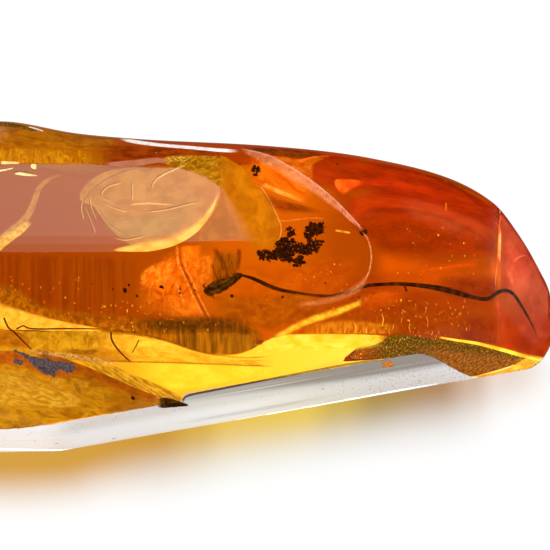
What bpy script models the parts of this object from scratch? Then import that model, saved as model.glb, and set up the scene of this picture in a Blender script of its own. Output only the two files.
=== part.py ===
"""A polished free-form piece of amber with sealed inclusions, lying on its flat ground base.

The stone is one solid. It is lofted through cross-sections along its length, from the blunt end
at -X to the tip at +X, and then cut by the flat faces that were ground on it. +Z is up, the front
with the large viewing window faces -Y, and the origin is the middle of the base.
"""

import math

import bmesh
import bpy
from mathutils import Vector

MM = 0.001

# Cross-sections along the length, in millimetres:
# place along X; front edge, crest and back edge in Y; height of the crest.
SECTIONS = (
    (-34.2, -0.3, 4.2, 6.4, 5),
    (-33.5, -3.5, 4, 7.8, 8.8),
    (-31.6, -6.9, 3.8, 9.2, 12.8),
    (-27, -9.8, 3.45, 10.1, 16.3),
    (-19.4, -11.2, 3.3, 10.5, 19),
    (-7.4, -10.4, 3.3, 10.2, 20.5),
    (-2, -9.7, 3.6, 10.2, 19.45),
    (2.6, -8, 4.4, 10.6, 18.65),
    (12.6, -4, 6.3, 11.5, 17.32),
    (20.6, -1.3, 7.95, 12.6, 15.56),
    (25.6, 0.7, 8.15, 11.9, 14.22),
    (29.6, 2.8, 8.25, 11, 11.97),
    (31.6, 3.8, 8.25, 10.5, 9.3),
    (33.2, 4.9, 8.25, 9.9, 6.6),
    (33.9, 5.8, 8.3, 9.6, 5.1),
    (34.2, 6.7, 8.3, 9.1, 3.2),
)
SECTION_COUNT = 66          # rings of the loft
RING_POINTS = 76            # points round a ring
WAIST = -0.4                # height of the widest line of a section
KEEL = 4.0                  # depth of the section below its widest line, before the base is cut
FRONT_ROUND = ((-7.5, 1.58), (2.6, 1.49), (9.0, 1.36), (37.5, 1.29))  # X and exponent of the front slope there
BACK_ROUND = 2.7            # exponent of the back slope
UNDER_ROUND = 2.0           # exponent of the underside

# Flat faces: a point on each face (mm), the azimuth it faces (0 is -Y, 90 is +X) and its elevation (degrees).
FACETS = {
    "base": ((0.0, 0.0, 0.0), 0.0, -90.0),
    "foot": ((-3.0, -9.63, 0.0), 22.0, 2.0),
    "foot_left": ((-7.4, -9.8, 0.0), 3.0, 1.5),
    "window": ((2.0, -1.98, 10.9), 17.1, 33.3),
    "end": ((32.1, 9.3, 9.0), 50.0, 19.6),
    "tip": ((33.45, 4.46, 1.0), 75.0, -29.0),
    "back": ((0.0, 9.6, 0.0), 182.0, 0.0),
    "left": ((-32.9, 3.1, 6.0), 285.0, 24.0),
}

AMBER_COLOUR = (0.83, 0.27, 0.02, 1.0)
AMBER_ROUGHNESS = 0.05
AMBER_IOR = 1.54


def clear_scene():
    for thing in list(bpy.data.objects):
        bpy.data.objects.remove(thing)


def facing(azimuth, elevation):
    """Unit vector that points to an azimuth and an elevation in degrees."""
    turn, rise = math.radians(azimuth), math.radians(elevation)
    flat = math.cos(rise)
    return Vector((math.sin(turn) * flat, -math.cos(turn) * flat, math.sin(rise)))


def slopes(column):
    """Slopes at the sections that let a column run smoothly without overshooting."""
    places = [row[0] for row in SECTIONS]
    values = [row[column] for row in SECTIONS]
    gaps = [b - a for a, b in zip(places, places[1:])]
    rises = [(b - a) / gap for a, b, gap in zip(values, values[1:], gaps)]
    result = [rises[0]]
    for before, after, gap_before, gap_after in zip(rises, rises[1:], gaps, gaps[1:]):
        if before * after <= 0:
            result.append(0.0)
            continue
        near, far = 2 * gap_after + gap_before, gap_after + 2 * gap_before
        result.append((near + far) / (near / before + far / after))
    result.append(rises[-1])
    return result


SLOPES = {column: slopes(column) for column in (1, 2, 3, 4)}


def along(x, column):
    """Value of a SECTIONS column at the place x, in millimetres."""
    i = 0
    while i < len(SECTIONS) - 2 and x > SECTIONS[i + 1][0]:
        i += 1
    start, stop = SECTIONS[i], SECTIONS[i + 1]
    gap = stop[0] - start[0]
    t = (x - start[0]) / gap
    slope_start, slope_stop = SLOPES[column][i], SLOPES[column][i + 1]
    return (
        (1 + 2 * t) * (1 - t) ** 2 * start[column]
        + t * (1 - t) ** 2 * gap * slope_start
        + t * t * (3 - 2 * t) * stop[column]
        + t * t * (t - 1) * gap * slope_stop
    )


def front_exponent(x):
    """Exponent of the front slope at x: straight between the entries of FRONT_ROUND, level beyond them."""
    if x <= FRONT_ROUND[0][0]:
        return FRONT_ROUND[0][1]
    for (start, low), (stop, high) in zip(FRONT_ROUND, FRONT_ROUND[1:]):
        if x <= stop:
            return low + (high - low) * (x - start) / (stop - start)
    return FRONT_ROUND[-1][1]


def superellipse(angle, exponent):
    """Cosine and sine of a superellipse, each with its sign."""
    c, s = math.cos(angle), math.sin(angle)
    power = 2.0 / exponent
    return math.copysign(abs(c) ** power, c), math.copysign(abs(s) ** power, s)


def section_point(x, angle):
    """Point of the uncut stone: angle 0 is the back, 90 degrees the crest and 180 the front."""
    front, middle, back, crest = (along(x, column) for column in (1, 2, 3, 4))
    if math.sin(angle) < 0:
        exponent, height = UNDER_ROUND, KEEL
    else:
        exponent, height = (front_exponent(x) if math.cos(angle) < 0 else BACK_ROUND), crest - WAIST
    across, up = superellipse(angle, exponent)
    y = middle + across * (middle - front if across < 0 else back - middle)
    return Vector((x, y, WAIST + up * height)) * MM


def station(i):
    """Place of ring i along X: rings lie closer together towards both ends."""
    share = i / (SECTION_COUNT - 1)
    eased = 0.5 - 0.5 * math.cos(math.pi * share)
    start, stop = SECTIONS[0][0], SECTIONS[-1][0]
    return start + (stop - start) * (share + eased) / 2


def lofted_stone():
    """Closed loft through the cross-sections, before any face is cut."""
    bm = bmesh.new()
    rings = []
    for i in range(SECTION_COUNT):
        x = station(i)
        angles = [2 * math.pi * j / RING_POINTS for j in range(RING_POINTS)]
        rings.append([bm.verts.new(section_point(x, angle)) for angle in angles])
    for ring, following in zip(rings, rings[1:]):
        for j in range(RING_POINTS):
            k = (j + 1) % RING_POINTS
            bm.faces.new((ring[j], ring[k], following[k], following[j]))
    bm.faces.new(reversed(rings[0]))
    bm.faces.new(rings[-1])
    bmesh.ops.recalc_face_normals(bm, faces=bm.faces)
    return bm


def cut_flat(bm, point, azimuth, elevation):
    """Grinds one flat face: takes off what stands in front of it and closes the cut."""
    everything = bm.verts[:] + bm.edges[:] + bm.faces[:]
    cut = bmesh.ops.bisect_plane(
        bm,
        geom=everything,
        dist=1e-6,
        plane_co=Vector(point) * MM,
        plane_no=facing(azimuth, elevation),
        clear_outer=True,
    )
    rim = [part for part in cut["geom_cut"] if isinstance(part, bmesh.types.BMEdge)]
    bmesh.ops.edgeloop_fill(bm, edges=rim)


def amber_material():
    material = bpy.data.materials.new("amber")
    material.use_nodes = True
    shader = material.node_tree.nodes["Principled BSDF"]
    shader.inputs["Base Color"].default_value = AMBER_COLOUR
    shader.inputs["Roughness"].default_value = AMBER_ROUGHNESS
    shader.inputs["Metallic"].default_value = 0.0
    shader.inputs["IOR"].default_value = AMBER_IOR
    shader.inputs["Transmission Weight"].default_value = 1.0
    return material


def make_amber():
    bm = lofted_stone()
    for point, azimuth, elevation in FACETS.values():
        cut_flat(bm, point, azimuth, elevation)
    bmesh.ops.remove_doubles(bm, verts=bm.verts, dist=0.02 * MM)
    bmesh.ops.dissolve_degenerate(bm, dist=0.01 * MM, edges=bm.edges)
    bmesh.ops.recalc_face_normals(bm, faces=bm.faces)
    mesh = bpy.data.meshes.new("amber")
    bm.to_mesh(mesh)
    bm.free()
    mesh.materials.append(amber_material())
    mesh.shade_smooth()
    mesh.set_sharp_from_angle(angle=math.radians(14))
    stone = bpy.data.objects.new("amber", mesh)
    bpy.context.scene.collection.objects.link(stone)
    return stone


clear_scene()
make_amber()
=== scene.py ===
"""Looks of a polished piece of amber with an insect, a long thread and plant debris sealed in it."""

import math

import bmesh
import bpy
import numpy as np
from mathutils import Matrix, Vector
from mathutils.bvhtree import BVHTree


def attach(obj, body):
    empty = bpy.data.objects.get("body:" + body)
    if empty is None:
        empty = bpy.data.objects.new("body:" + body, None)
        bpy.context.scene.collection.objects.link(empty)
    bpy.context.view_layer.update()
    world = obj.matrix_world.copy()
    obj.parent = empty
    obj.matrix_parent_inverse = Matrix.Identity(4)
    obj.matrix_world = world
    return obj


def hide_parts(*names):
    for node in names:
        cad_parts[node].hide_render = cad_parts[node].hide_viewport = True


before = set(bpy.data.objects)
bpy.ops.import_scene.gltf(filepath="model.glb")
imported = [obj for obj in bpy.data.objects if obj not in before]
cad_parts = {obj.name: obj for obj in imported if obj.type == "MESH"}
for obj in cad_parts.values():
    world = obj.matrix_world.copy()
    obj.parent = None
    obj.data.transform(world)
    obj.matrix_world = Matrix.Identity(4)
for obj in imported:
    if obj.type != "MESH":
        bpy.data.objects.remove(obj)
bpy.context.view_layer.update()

bl_info = {
    "name": "Insect in Amber",
    "version": (1, 0, 0),
    "blender": (4, 5, 0),
    "location": "View3D > Sidebar > Amber",
    "description": "Builds a polished amber piece with its sealed insect, thread, debris and fractures",
    "category": "Object",
}

MM = 0.001
WHITE = (1.0, 1.0, 1.0)
BLACK = (0.0, 0.0, 0.0)

# ---------------------------------------------------------------- shape of the stone, in millimetres

# Place along X; front edge, crest and back edge in Y; height of the crest.
SECTIONS = np.array((
    (-34.2, -0.3, 4.2, 6.4, 5),
    (-33.5, -3.5, 4, 7.8, 8.8),
    (-31.6, -6.9, 3.8, 9.2, 12.8),
    (-27, -9.8, 3.45, 10.1, 16.3),
    (-19.4, -11.2, 3.3, 10.5, 19),
    (-7.4, -10.4, 3.3, 10.2, 20.5),
    (-2, -9.7, 3.6, 10.2, 19.45),
    (2.6, -8, 4.4, 10.6, 18.65),
    (12.6, -4, 6.3, 11.5, 17.32),
    (20.6, -1.3, 7.95, 12.6, 15.56),
    (25.6, 0.7, 8.15, 11.9, 14.22),
    (29.6, 2.8, 8.25, 11, 11.97),
    (31.6, 3.8, 8.25, 10.5, 9.3),
    (33.2, 4.9, 8.25, 9.9, 6.6),
    (33.9, 5.8, 8.3, 9.6, 5.1),
    (34.2, 6.7, 8.3, 9.1, 3.2),
))
WAIST = -0.4                # height of the widest line of a section
KEEL = 4.0                  # depth of the uncut section below its widest line
# Superellipse exponents of a section: of its front slope at places along X, of its back and of its underside.
FRONT_ROUND = ((-7.5, 1.58), (2.6, 1.49), (9.0, 1.36), (37.5, 1.29))
BACK_ROUND = 2.7
UNDER_ROUND = 2.0

# Ground faces: a point on each, the azimuth it faces (0 is -Y, 90 is +X), its elevation in degrees,
# and how wide its edges are rounded, in millimetres.
FACES = {
    "base": ((0.0, 0.0, 0.0), 0.0, -90.0, 0.25),
    "foot": ((-3.0, -9.63, 0.0), 22.0, 2.0, 0.35),
    "foot_left": ((-7.4, -9.8, 0.0), 3.0, 1.5, 0.35),
    "window": ((2.0, -1.98, 10.9), 17.1, 33.3, 0.2),
    "end": ((32.1, 9.3, 9.0), 50.0, 19.6, 0.3),
    "tip": ((33.45, 4.46, 1.0), 75.0, -29.0, 0.5),
    "back": ((0.0, 9.6, 0.0), 182.0, 0.0, 0.8),
    "left": ((-32.9, 3.1, 6.0), 285.0, 24.0, 0.8),
}
CORE = np.array((-1.5, 2.1, 7.0))   # point inside the stone from which the faces are cut
FAR = 9.0                   # reach, as a share of a ray, where the ray never meets a face
PARALLEL = 1e-6
RINGS = 300
RING_POINTS = 300
RING_EASE = 0.45            # how much closer together the rings lie towards both ends
CAP_SHARES = (0.75, 0.5, 0.25)      # sizes of the rings that close an end
WELD = 0.002                # corners closer than this are joined


# ---------------------------------------------------------------- shader nodes

def math_node(operation, swapped=False):
    """A method of Value that adds a Math node."""
    def method(self, *others):
        operands = (*others, self) if swapped else (self, *others)
        return self.nodes.add("ShaderNodeMath", {"operation": operation}, dict(enumerate(operands)))["Value"]
    return method


class Value:
    """A number in a node tree. Arithmetic on it adds Math nodes."""

    def __init__(self, nodes, socket):
        self.nodes = nodes
        self.socket = socket

    __add__ = __radd__ = math_node("ADD")
    __sub__ = math_node("SUBTRACT")
    __rsub__ = math_node("SUBTRACT", swapped=True)
    __mul__ = __rmul__ = math_node("MULTIPLY")
    __gt__ = math_node("GREATER_THAN")
    __lt__ = math_node("LESS_THAN")
    high = math_node("MAXIMUM")
    absolute = math_node("ABSOLUTE")
    exponential = math_node("EXPONENT")

    def ramp(self, start, stop, low=0.0, high=1.0):
        """Goes smoothly from low at start to high at stop."""
        return self.nodes.add("ShaderNodeMapRange", {"interpolation_type": "SMOOTHSTEP", "clamp": True}, {
            "Value": self, "From Min": start, "From Max": stop, "To Min": low, "To Max": high})["Result"]


class Outputs:
    """The outputs of a node, by name."""

    def __init__(self, nodes, node):
        self.nodes = nodes
        self.node = node

    def __getitem__(self, name):
        return Value(self.nodes, self.node.outputs[name])


class Nodes:
    """Adds nodes to the tree of a material or world."""

    def __init__(self, tree, world=False):
        self.tree = tree
        tree.nodes.clear()
        if not world:
            self.position = self.add("ShaderNodeTexCoord")["Object"]
            split = self.add("ShaderNodeSeparateXYZ", inputs={"Vector": self.position})
            self.x, self.y, self.z = (split[axis] * (1.0 / MM) for axis in "XYZ")

    def add(self, kind, settings=None, inputs=None):
        node = self.tree.nodes.new(kind)
        for name, value in (settings or {}).items():
            setattr(node, name, value)
        for name, value in (inputs or {}).items():
            socket = node.inputs[name]
            if isinstance(value, Value):
                self.tree.links.new(value.socket, socket)
            else:
                socket.default_value = value
        return Outputs(self, node)

    def stretched(self, along, across, up):
        """Position scaled differently along X, Y and Z."""
        inputs = {0: self.position, 1: (along, across, up)}
        return self.add("ShaderNodeVectorMath", {"operation": "MULTIPLY"}, inputs)["Vector"]

    def drawn(self, name):
        """The two numbers of a UV map."""
        split = self.add("ShaderNodeSeparateXYZ", inputs={
            "Vector": self.add("ShaderNodeUVMap", {"uv_map": name})["UV"]})
        return split["X"], split["Y"]

    def point(self, x, y, z=0.0):
        return self.add("ShaderNodeCombineXYZ", inputs={"X": x, "Y": y, "Z": z})["Vector"]

    def noise(self, position, scale, detail=3.0, roughness=0.5, distortion=0.0):
        return self.add("ShaderNodeTexNoise", inputs={
            "Vector": position, "Scale": scale, "Detail": detail, "Roughness": roughness,
            "Distortion": distortion})["Fac"]

    def mixed(self, factor, a, b):
        mix = self.add("ShaderNodeMix", {"data_type": "RGBA", "clamp_factor": True}, {0: factor})
        for index, colour in ((6, a), (7, b)):
            if isinstance(colour, Value):
                self.tree.links.new(colour.socket, mix.node.inputs[index])
            else:
                mix.node.inputs[index].default_value = (*colour, 1.0)
        return Value(self, mix.node.outputs[2])

    def output(self, surface, volume=None):
        inputs = {"Surface": surface}
        if volume is not None:
            inputs["Volume"] = volume
        self.add("ShaderNodeOutputMaterial", inputs=inputs)


def new_material(name):
    material = bpy.data.materials.new(name)
    material.use_nodes = True
    return material, Nodes(material.node_tree)


def put(name, mesh):
    """An object of the mesh in the scene."""
    thing = bpy.data.objects.new(name, mesh)
    bpy.context.scene.collection.objects.link(thing)
    return thing


def ring_faces(count, sides):
    """Faces between count rings of sides corners, closed round two poles that come after the rings."""
    faces = []
    for i in range(count - 1):
        for j in range(sides):
            k = (j + 1) % sides
            a, b = i * sides, (i + 1) * sides
            faces.append((a + j, a + k, b + k, b + j))
    end = (count - 1) * sides
    first, last = count * sides, count * sides + 1
    faces.extend((first, (j + 1) % sides, j) for j in range(sides))
    faces.extend((last, end + j, end + (j + 1) % sides) for j in range(sides))
    return faces


def turn_outward(mesh, weld=0.0):
    """Joins corners closer than weld and turns the faces of a closed mesh outward."""
    bm = bmesh.new()
    bm.from_mesh(mesh)
    if weld > 0:
        bmesh.ops.remove_doubles(bm, verts=bm.verts, dist=weld)
    bmesh.ops.recalc_face_normals(bm, faces=bm.faces)
    bm.to_mesh(mesh)
    bm.free()
    mesh.shade_smooth()


# ---------------------------------------------------------------- stone

def facing(azimuth, elevation):
    turn, rise = math.radians(azimuth), math.radians(elevation)
    flat = math.cos(rise)
    return np.array((math.sin(turn) * flat, -math.cos(turn) * flat, math.sin(rise)))


def along(x, column):
    """Values of a SECTIONS column at the places x, running smoothly without overshooting."""
    places, values = SECTIONS[:, 0], SECTIONS[:, column]
    gaps = np.diff(places)
    rises = np.diff(values) / gaps
    slopes = np.zeros(len(places))
    slopes[0], slopes[-1] = rises[0], rises[-1]
    same = rises[:-1] * rises[1:] > 0
    near, far = 2 * gaps[1:] + gaps[:-1], gaps[1:] + 2 * gaps[:-1]
    safe = np.where(rises == 0, 1.0, rises)
    slopes[1:-1] = np.where(same, (near + far) / (near / safe[:-1] + far / safe[1:]), 0.0)
    i = np.clip(np.searchsorted(places, x) - 1, 0, len(places) - 2)
    t = (x - places[i]) / gaps[i]
    return (
        (1 + 2 * t) * (1 - t) ** 2 * values[i]
        + t * (1 - t) ** 2 * gaps[i] * slopes[i]
        + t * t * (3 - 2 * t) * values[i + 1]
        + t * t * (t - 1) * gaps[i] * slopes[i + 1]
    )


def uncut_points(x, angle):
    """Points of the uncut stone: angle 0 is the back, 90 degrees the crest and 180 the front."""
    front, middle, back, crest = along(x, 1), along(x, 2), along(x, 3), along(x, 4)
    front_round = np.interp(x, *zip(*FRONT_ROUND))
    c, s = np.cos(angle), np.sin(angle)
    under = s < 0
    exponent = np.where(under, UNDER_ROUND, np.where(c < 0, front_round, BACK_ROUND))
    height = np.where(under, KEEL, crest - WAIST)
    across = np.sign(c) * np.abs(c) ** (2 / exponent)
    up = np.sign(s) * np.abs(s) ** (2 / exponent)
    y = middle + across * np.where(c < 0, middle - front, back - middle)
    return np.stack((x + 0 * angle, y, WAIST + up * height), -1)


def soft_low(a, b, width):
    """The lower of a and b, with the corner between them rounded over width."""
    h = np.clip(1 - np.abs(a - b) / width, 0, 1)
    return np.minimum(a, b) - h * h * width / 4


def cut_faces(points):
    """Draws points of the uncut stone in towards CORE until they lie behind every ground face."""
    rays = points - CORE
    length = np.linalg.norm(rays, axis=-1)
    share = np.ones(length.shape)
    for point, azimuth, elevation, rounding in FACES.values():
        normal = facing(azimuth, elevation)
        towards = rays @ normal
        reach = (np.array(point) - CORE) @ normal / np.maximum(towards, PARALLEL)
        reach = np.where(towards > PARALLEL, np.minimum(reach, FAR), FAR)
        share = soft_low(share, reach, rounding / length)
    return CORE + rays * share[..., None]


def ring_places(count):
    """Places of the rings along X."""
    t = np.linspace(0, 1, count)
    eased = 0.5 - 0.5 * np.cos(np.pi * t)
    return SECTIONS[0, 0] + (SECTIONS[-1, 0] - SECTIONS[0, 0]) * ((1 - RING_EASE) * t + RING_EASE * eased)


def stone_mesh(rings, ring_points):
    x = ring_places(rings)
    angles = np.linspace(0, 2 * np.pi, ring_points, endpoint=False)
    grid_x, grid_angle = np.meshgrid(x, angles, indexing="ij")
    points = uncut_points(grid_x, grid_angle)
    caps = []
    for ring in (points[0], points[-1]):
        middle = ring.mean(0)
        caps.append(np.stack([middle + (ring - middle) * share for share in CAP_SHARES]))
    points = np.concatenate((caps[0][::-1], points, caps[1]))
    poles = np.array((points[0].mean(0), points[-1].mean(0)))
    solid = np.concatenate((cut_faces(points).reshape(-1, 3), cut_faces(poles)))
    mesh = bpy.data.meshes.new("stone")
    mesh.from_pydata((solid * MM).tolist(), [], ring_faces(len(points), ring_points))
    turn_outward(mesh, WELD * MM)
    return mesh


SKIN_TINT = (1.0, 0.62, 0.3)


def stone_skin(nodes, x, y, z):
    """Tint of the stone's back: redder towards the crest and the tip, clear near the foot."""
    back = y.ramp(5.0, 8.0) * z.ramp(3.0, 9.0)
    mottle = nodes.noise(nodes.position, 220.0, 4.0, 0.6)
    return nodes.mixed(back * (mottle * 0.6 + 0.5), WHITE, SKIN_TINT)


BAND_TOP = 2.93             # height of the matt foot bevel
BAND_RISE = (6.05, 6.5, 0.55)       # the stretch of X where it rises to that height, and by how much
BAND_END = (23.5, 28.9)             # the stretch of X where it tapers away
BAND_LEFT = (-1.2, -7.5, 0.42)      # the stretch of X where it gets lower to the left, and by how much
BAND_DEPTH = (0.3, 0.15)            # distances from its ground faces where it begins and is full
BAND_WHITE = (0.90, 0.92, 0.96)
BAND_GREYS = ((0.60, 0.59, 0.60), (0.425, 0.385, 0.357))
BAND_STREAK = (0.66, 0.64, 0.66)
BAND_LINE = (0.86, 0.86, 0.88)
BAND_GROOVE = (0.48, 0.46, 0.56)
BAND_GRIT = (0.34, 0.28, 0.20)
BAND_SCAR = (0.40, 0.24, 0.10)
# Colours of the painted glow that the matt bevel emits, at its left and at its right.
BAND_PAINTED_GLOW = ((0.17, 0.22, 0.27), (0.11, 0.105, 0.10))


def band_mask(nodes, x, y, z):
    """One on the matt ground bevel along the foot, which tapers away before the tip."""
    start, stop, drop = BAND_RISE
    top = x.ramp(start, stop, BAND_TOP - drop, BAND_TOP) * x.ramp(*BAND_END, 1.0, 0.0)
    start, stop, drop = BAND_LEFT
    top -= x.ramp(start, stop, 0.0, drop)
    wander = nodes.noise(nodes.position, 1500.0, 3.0) * 0.16 - 0.08
    below = (top + wander - z).ramp(-0.03, 0.06)
    near = None
    for name in ("foot", "foot_left"):
        point, azimuth, elevation, _ = FACES[name]
        normal = facing(azimuth, elevation)
        distance = x * float(normal[0]) + y * float(normal[1]) + z * float(normal[2])
        close = (distance - float(np.dot(normal, point))).absolute().ramp(*BAND_DEPTH)
        near = close if near is None else near.high(close)
    return below * near


def band_colour(nodes, x, y, z):
    """Nearly white with fine streaks along the foot, greyer above towards the tip, and brown specks."""
    grey_above = x.ramp(6.0, 24.0, 2.2, 1.6)
    grey = (z - grey_above).ramp(-0.25, 0.35) * x.ramp(4.0, 7.5)
    dark = nodes.mixed(x.ramp(4.0, 16.0), *BAND_GREYS)
    colour = nodes.mixed(grey, BAND_WHITE, dark)
    streaks = nodes.noise(nodes.stretched(45.0, 45.0, 3400.0), 1.0, 4.0, 0.7)
    colour = nodes.mixed(streaks.ramp(0.52, 0.7) * 0.4, colour, BAND_STREAK)
    lines = nodes.noise(nodes.stretched(25.0, 25.0, 5200.0), 1.0, 1.0)
    colour = nodes.mixed(lines.ramp(0.58, 0.64) * grey * 0.8, colour, BAND_LINE)
    groove = (z - 0.62).absolute().ramp(0.22, 0.05) * x.ramp(5.0, 9.0) * x.ramp(18.0, 13.0)
    colour = nodes.mixed(groove * 0.55, colour, BAND_GROOVE)
    grit = nodes.noise(nodes.position, 6500.0, 3.0, 0.7) + x.ramp(14.0, 22.0) * 0.06
    colour = nodes.mixed(grit.ramp(0.62, 0.7) * 0.65, colour, BAND_GRIT)
    scars = nodes.noise(nodes.stretched(700.0, 700.0, 2600.0), 1.0, 2.0)
    return nodes.mixed(scars.ramp(0.715, 0.75), colour, BAND_SCAR)


def band_painted_glow(nodes, x, z):
    """Painted cool glow that the matt bevel emits, strongest low down and away from the left end."""
    place = (1.6 - z).ramp(-0.3, 0.6) * x.ramp(-3.4, -1.6)
    return nodes.mixed(place, BLACK, nodes.mixed(x.ramp(8.0, 18.0), *BAND_PAINTED_GLOW))


def amber_material(settings):
    material, nodes = new_material("polished amber")
    x, y, z = nodes.x, nodes.y, nodes.z
    clear = nodes.add("ShaderNodeBsdfPrincipled", inputs={
        "Base Color": stone_skin(nodes, x, y, z), "Roughness": 0.0,
        "IOR": settings.ior, "Transmission Weight": 1.0})
    scratches = nodes.noise(nodes.stretched(300.0, 300.0, 5000.0), 1.0, 4.0, 0.7)
    bump = nodes.add("ShaderNodeBump", inputs={"Strength": 0.35, "Distance": 0.00004, "Height": scratches})
    # The matt bevel also emits a painted glow.
    ground = nodes.add("ShaderNodeBsdfPrincipled", inputs={
        "Base Color": band_colour(nodes, x, y, z), "Roughness": 0.6, "IOR": settings.ior,
        "Emission Color": band_painted_glow(nodes, x, z), "Emission Strength": 1.0, "Normal": bump["Normal"]})
    surface = nodes.add("ShaderNodeMixShader", inputs={
        0: band_mask(nodes, x, y, z), 1: clear["BSDF"], 2: ground["BSDF"]})
    volume = nodes.add("ShaderNodeVolumeAbsorption", inputs={
        "Color": (*settings.absorb_colour, 1.0), "Density": settings.absorb_density})
    nodes.output(surface["Shader"], volume["Volume"])
    return material


# ---------------------------------------------------------------- places in the picture

PICTURE = 550.0             # side of the camera's picture, in pixels
PIXEL = 0.075               # width of a pixel at the stone, in millimetres
LOOK_AT = np.array((13.125, 3.1, 8.585))
RISE = math.radians(25.0)   # how far the camera looks down
CAMERA_DISTANCE = 700.0
UP = np.array((0.0, math.sin(RISE), math.cos(RISE)))
BACK = np.array((0.0, -math.cos(RISE), math.sin(RISE)))
EYE = LOOK_AT + BACK * CAMERA_DISTANCE


class Sight:
    """Finds the places in and on the stone that show at a pixel of the camera's picture."""

    def __init__(self, mesh, ior):
        bm = bmesh.new()
        bm.from_mesh(mesh)
        self.tree = BVHTree.FromBMesh(bm)
        bm.free()
        self.ior = ior

    def ray(self, column, row):
        half = PICTURE / 2
        aim = LOOK_AT + np.array(((column - half) * PIXEL, 0, 0)) + UP * ((half - row) * PIXEL)
        return Vector(aim - EYE).normalized()

    def at(self, column, row, depth):
        """Place depth millimetres behind the surface, along the bent ray; in front where depth < 0."""
        direction = self.ray(column, row)
        hit, normal, _, _ = self.tree.ray_cast(Vector(EYE) * MM, direction)
        if hit is None:
            return None
        if normal.dot(direction) > 0:
            normal = -normal
        if depth < 0:
            return hit - normal * depth * MM
        slant = -normal.dot(direction)
        bent = direction / self.ior
        bent += normal * (slant / self.ior - math.sqrt(1 - (1 - slant * slant) / self.ior ** 2))
        return hit + bent * depth * MM


# ---------------------------------------------------------------- sheets inside the stone

def linear(red, green, blue):
    """Linear colour from the 0 to 255 values that a screen shows."""
    def channel(value):
        value /= 255.0
        return value / 12.92 if value <= 0.04045 else ((value + 0.055) / 1.055) ** 2.4
    return (channel(red), channel(green), channel(blue))


CURVE_STEPS = 16            # points between two given ones of a curve


def smooth_path(points, count):
    """Points spread evenly over a smooth curve through the given ones."""
    points = np.array(points, float)
    padded = np.vstack((2 * points[0] - points[1], points, 2 * points[-1] - points[-2]))
    curve = []
    for before, start, stop, after in zip(padded, padded[1:], padded[2:], padded[3:]):
        for t in np.linspace(0, 1, CURVE_STEPS, endpoint=False):
            curve.append(0.5 * (2 * start + (stop - before) * t
                                + (2 * before - 5 * start + 4 * stop - after) * t ** 2
                                + (3 * start - before - 3 * stop + after) * t ** 3))
    curve.append(points[-1])
    curve = np.array(curve)
    run = np.concatenate(((0,), np.cumsum(np.linalg.norm(np.diff(curve[:, :2], axis=0), axis=1))))
    wanted = np.linspace(0, run[-1], count)
    return np.stack([np.interp(wanted, run, column) for column in curve.T], -1)


def even_path(path, step, least):
    """Points a step apart on a smooth curve, and not fewer than least."""
    path = np.array(path, float)
    length = np.linalg.norm(np.diff(path, axis=0), axis=1).sum()
    return smooth_path(path, max(least, int(length / step)))


def unit(vectors):
    return vectors / np.linalg.norm(vectors, axis=1)[:, None]


LEFT_RUN = 110.0            # how far sheets are carried on past the left side, in pixels, and fade out
LEFT_STEPS = 24
LEFT_FADE = 0.3
LEAST_STEPS = 4
PATCH_ACROSS = 1.5          # how much longer a patch's faces are across than along
RIBBON_ACROSS = 4           # faces across a ribbon


class Parts:
    """One mesh made of many parts, each laid out by where it shows in the camera's picture."""

    def __init__(self, sight, seed=1):
        self.sight = sight
        self.random = np.random.default_rng(seed)
        self.vertices, self.faces, self.slots, self.materials = [], [], [], []

    def slot_of(self, material):
        if material not in self.materials:
            self.materials.append(material)
        return self.materials.index(material)

    def make(self, name, slot):
        mesh = bpy.data.meshes.new(name)
        mesh.from_pydata([tuple(vertex) for vertex in self.vertices], [], self.faces)
        for material in self.materials:
            mesh.materials.append(material)
        mesh.polygons.foreach_set("material_index", self.slots)
        self.finish(mesh)
        piece = put(name, mesh)
        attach(piece, "root")


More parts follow.
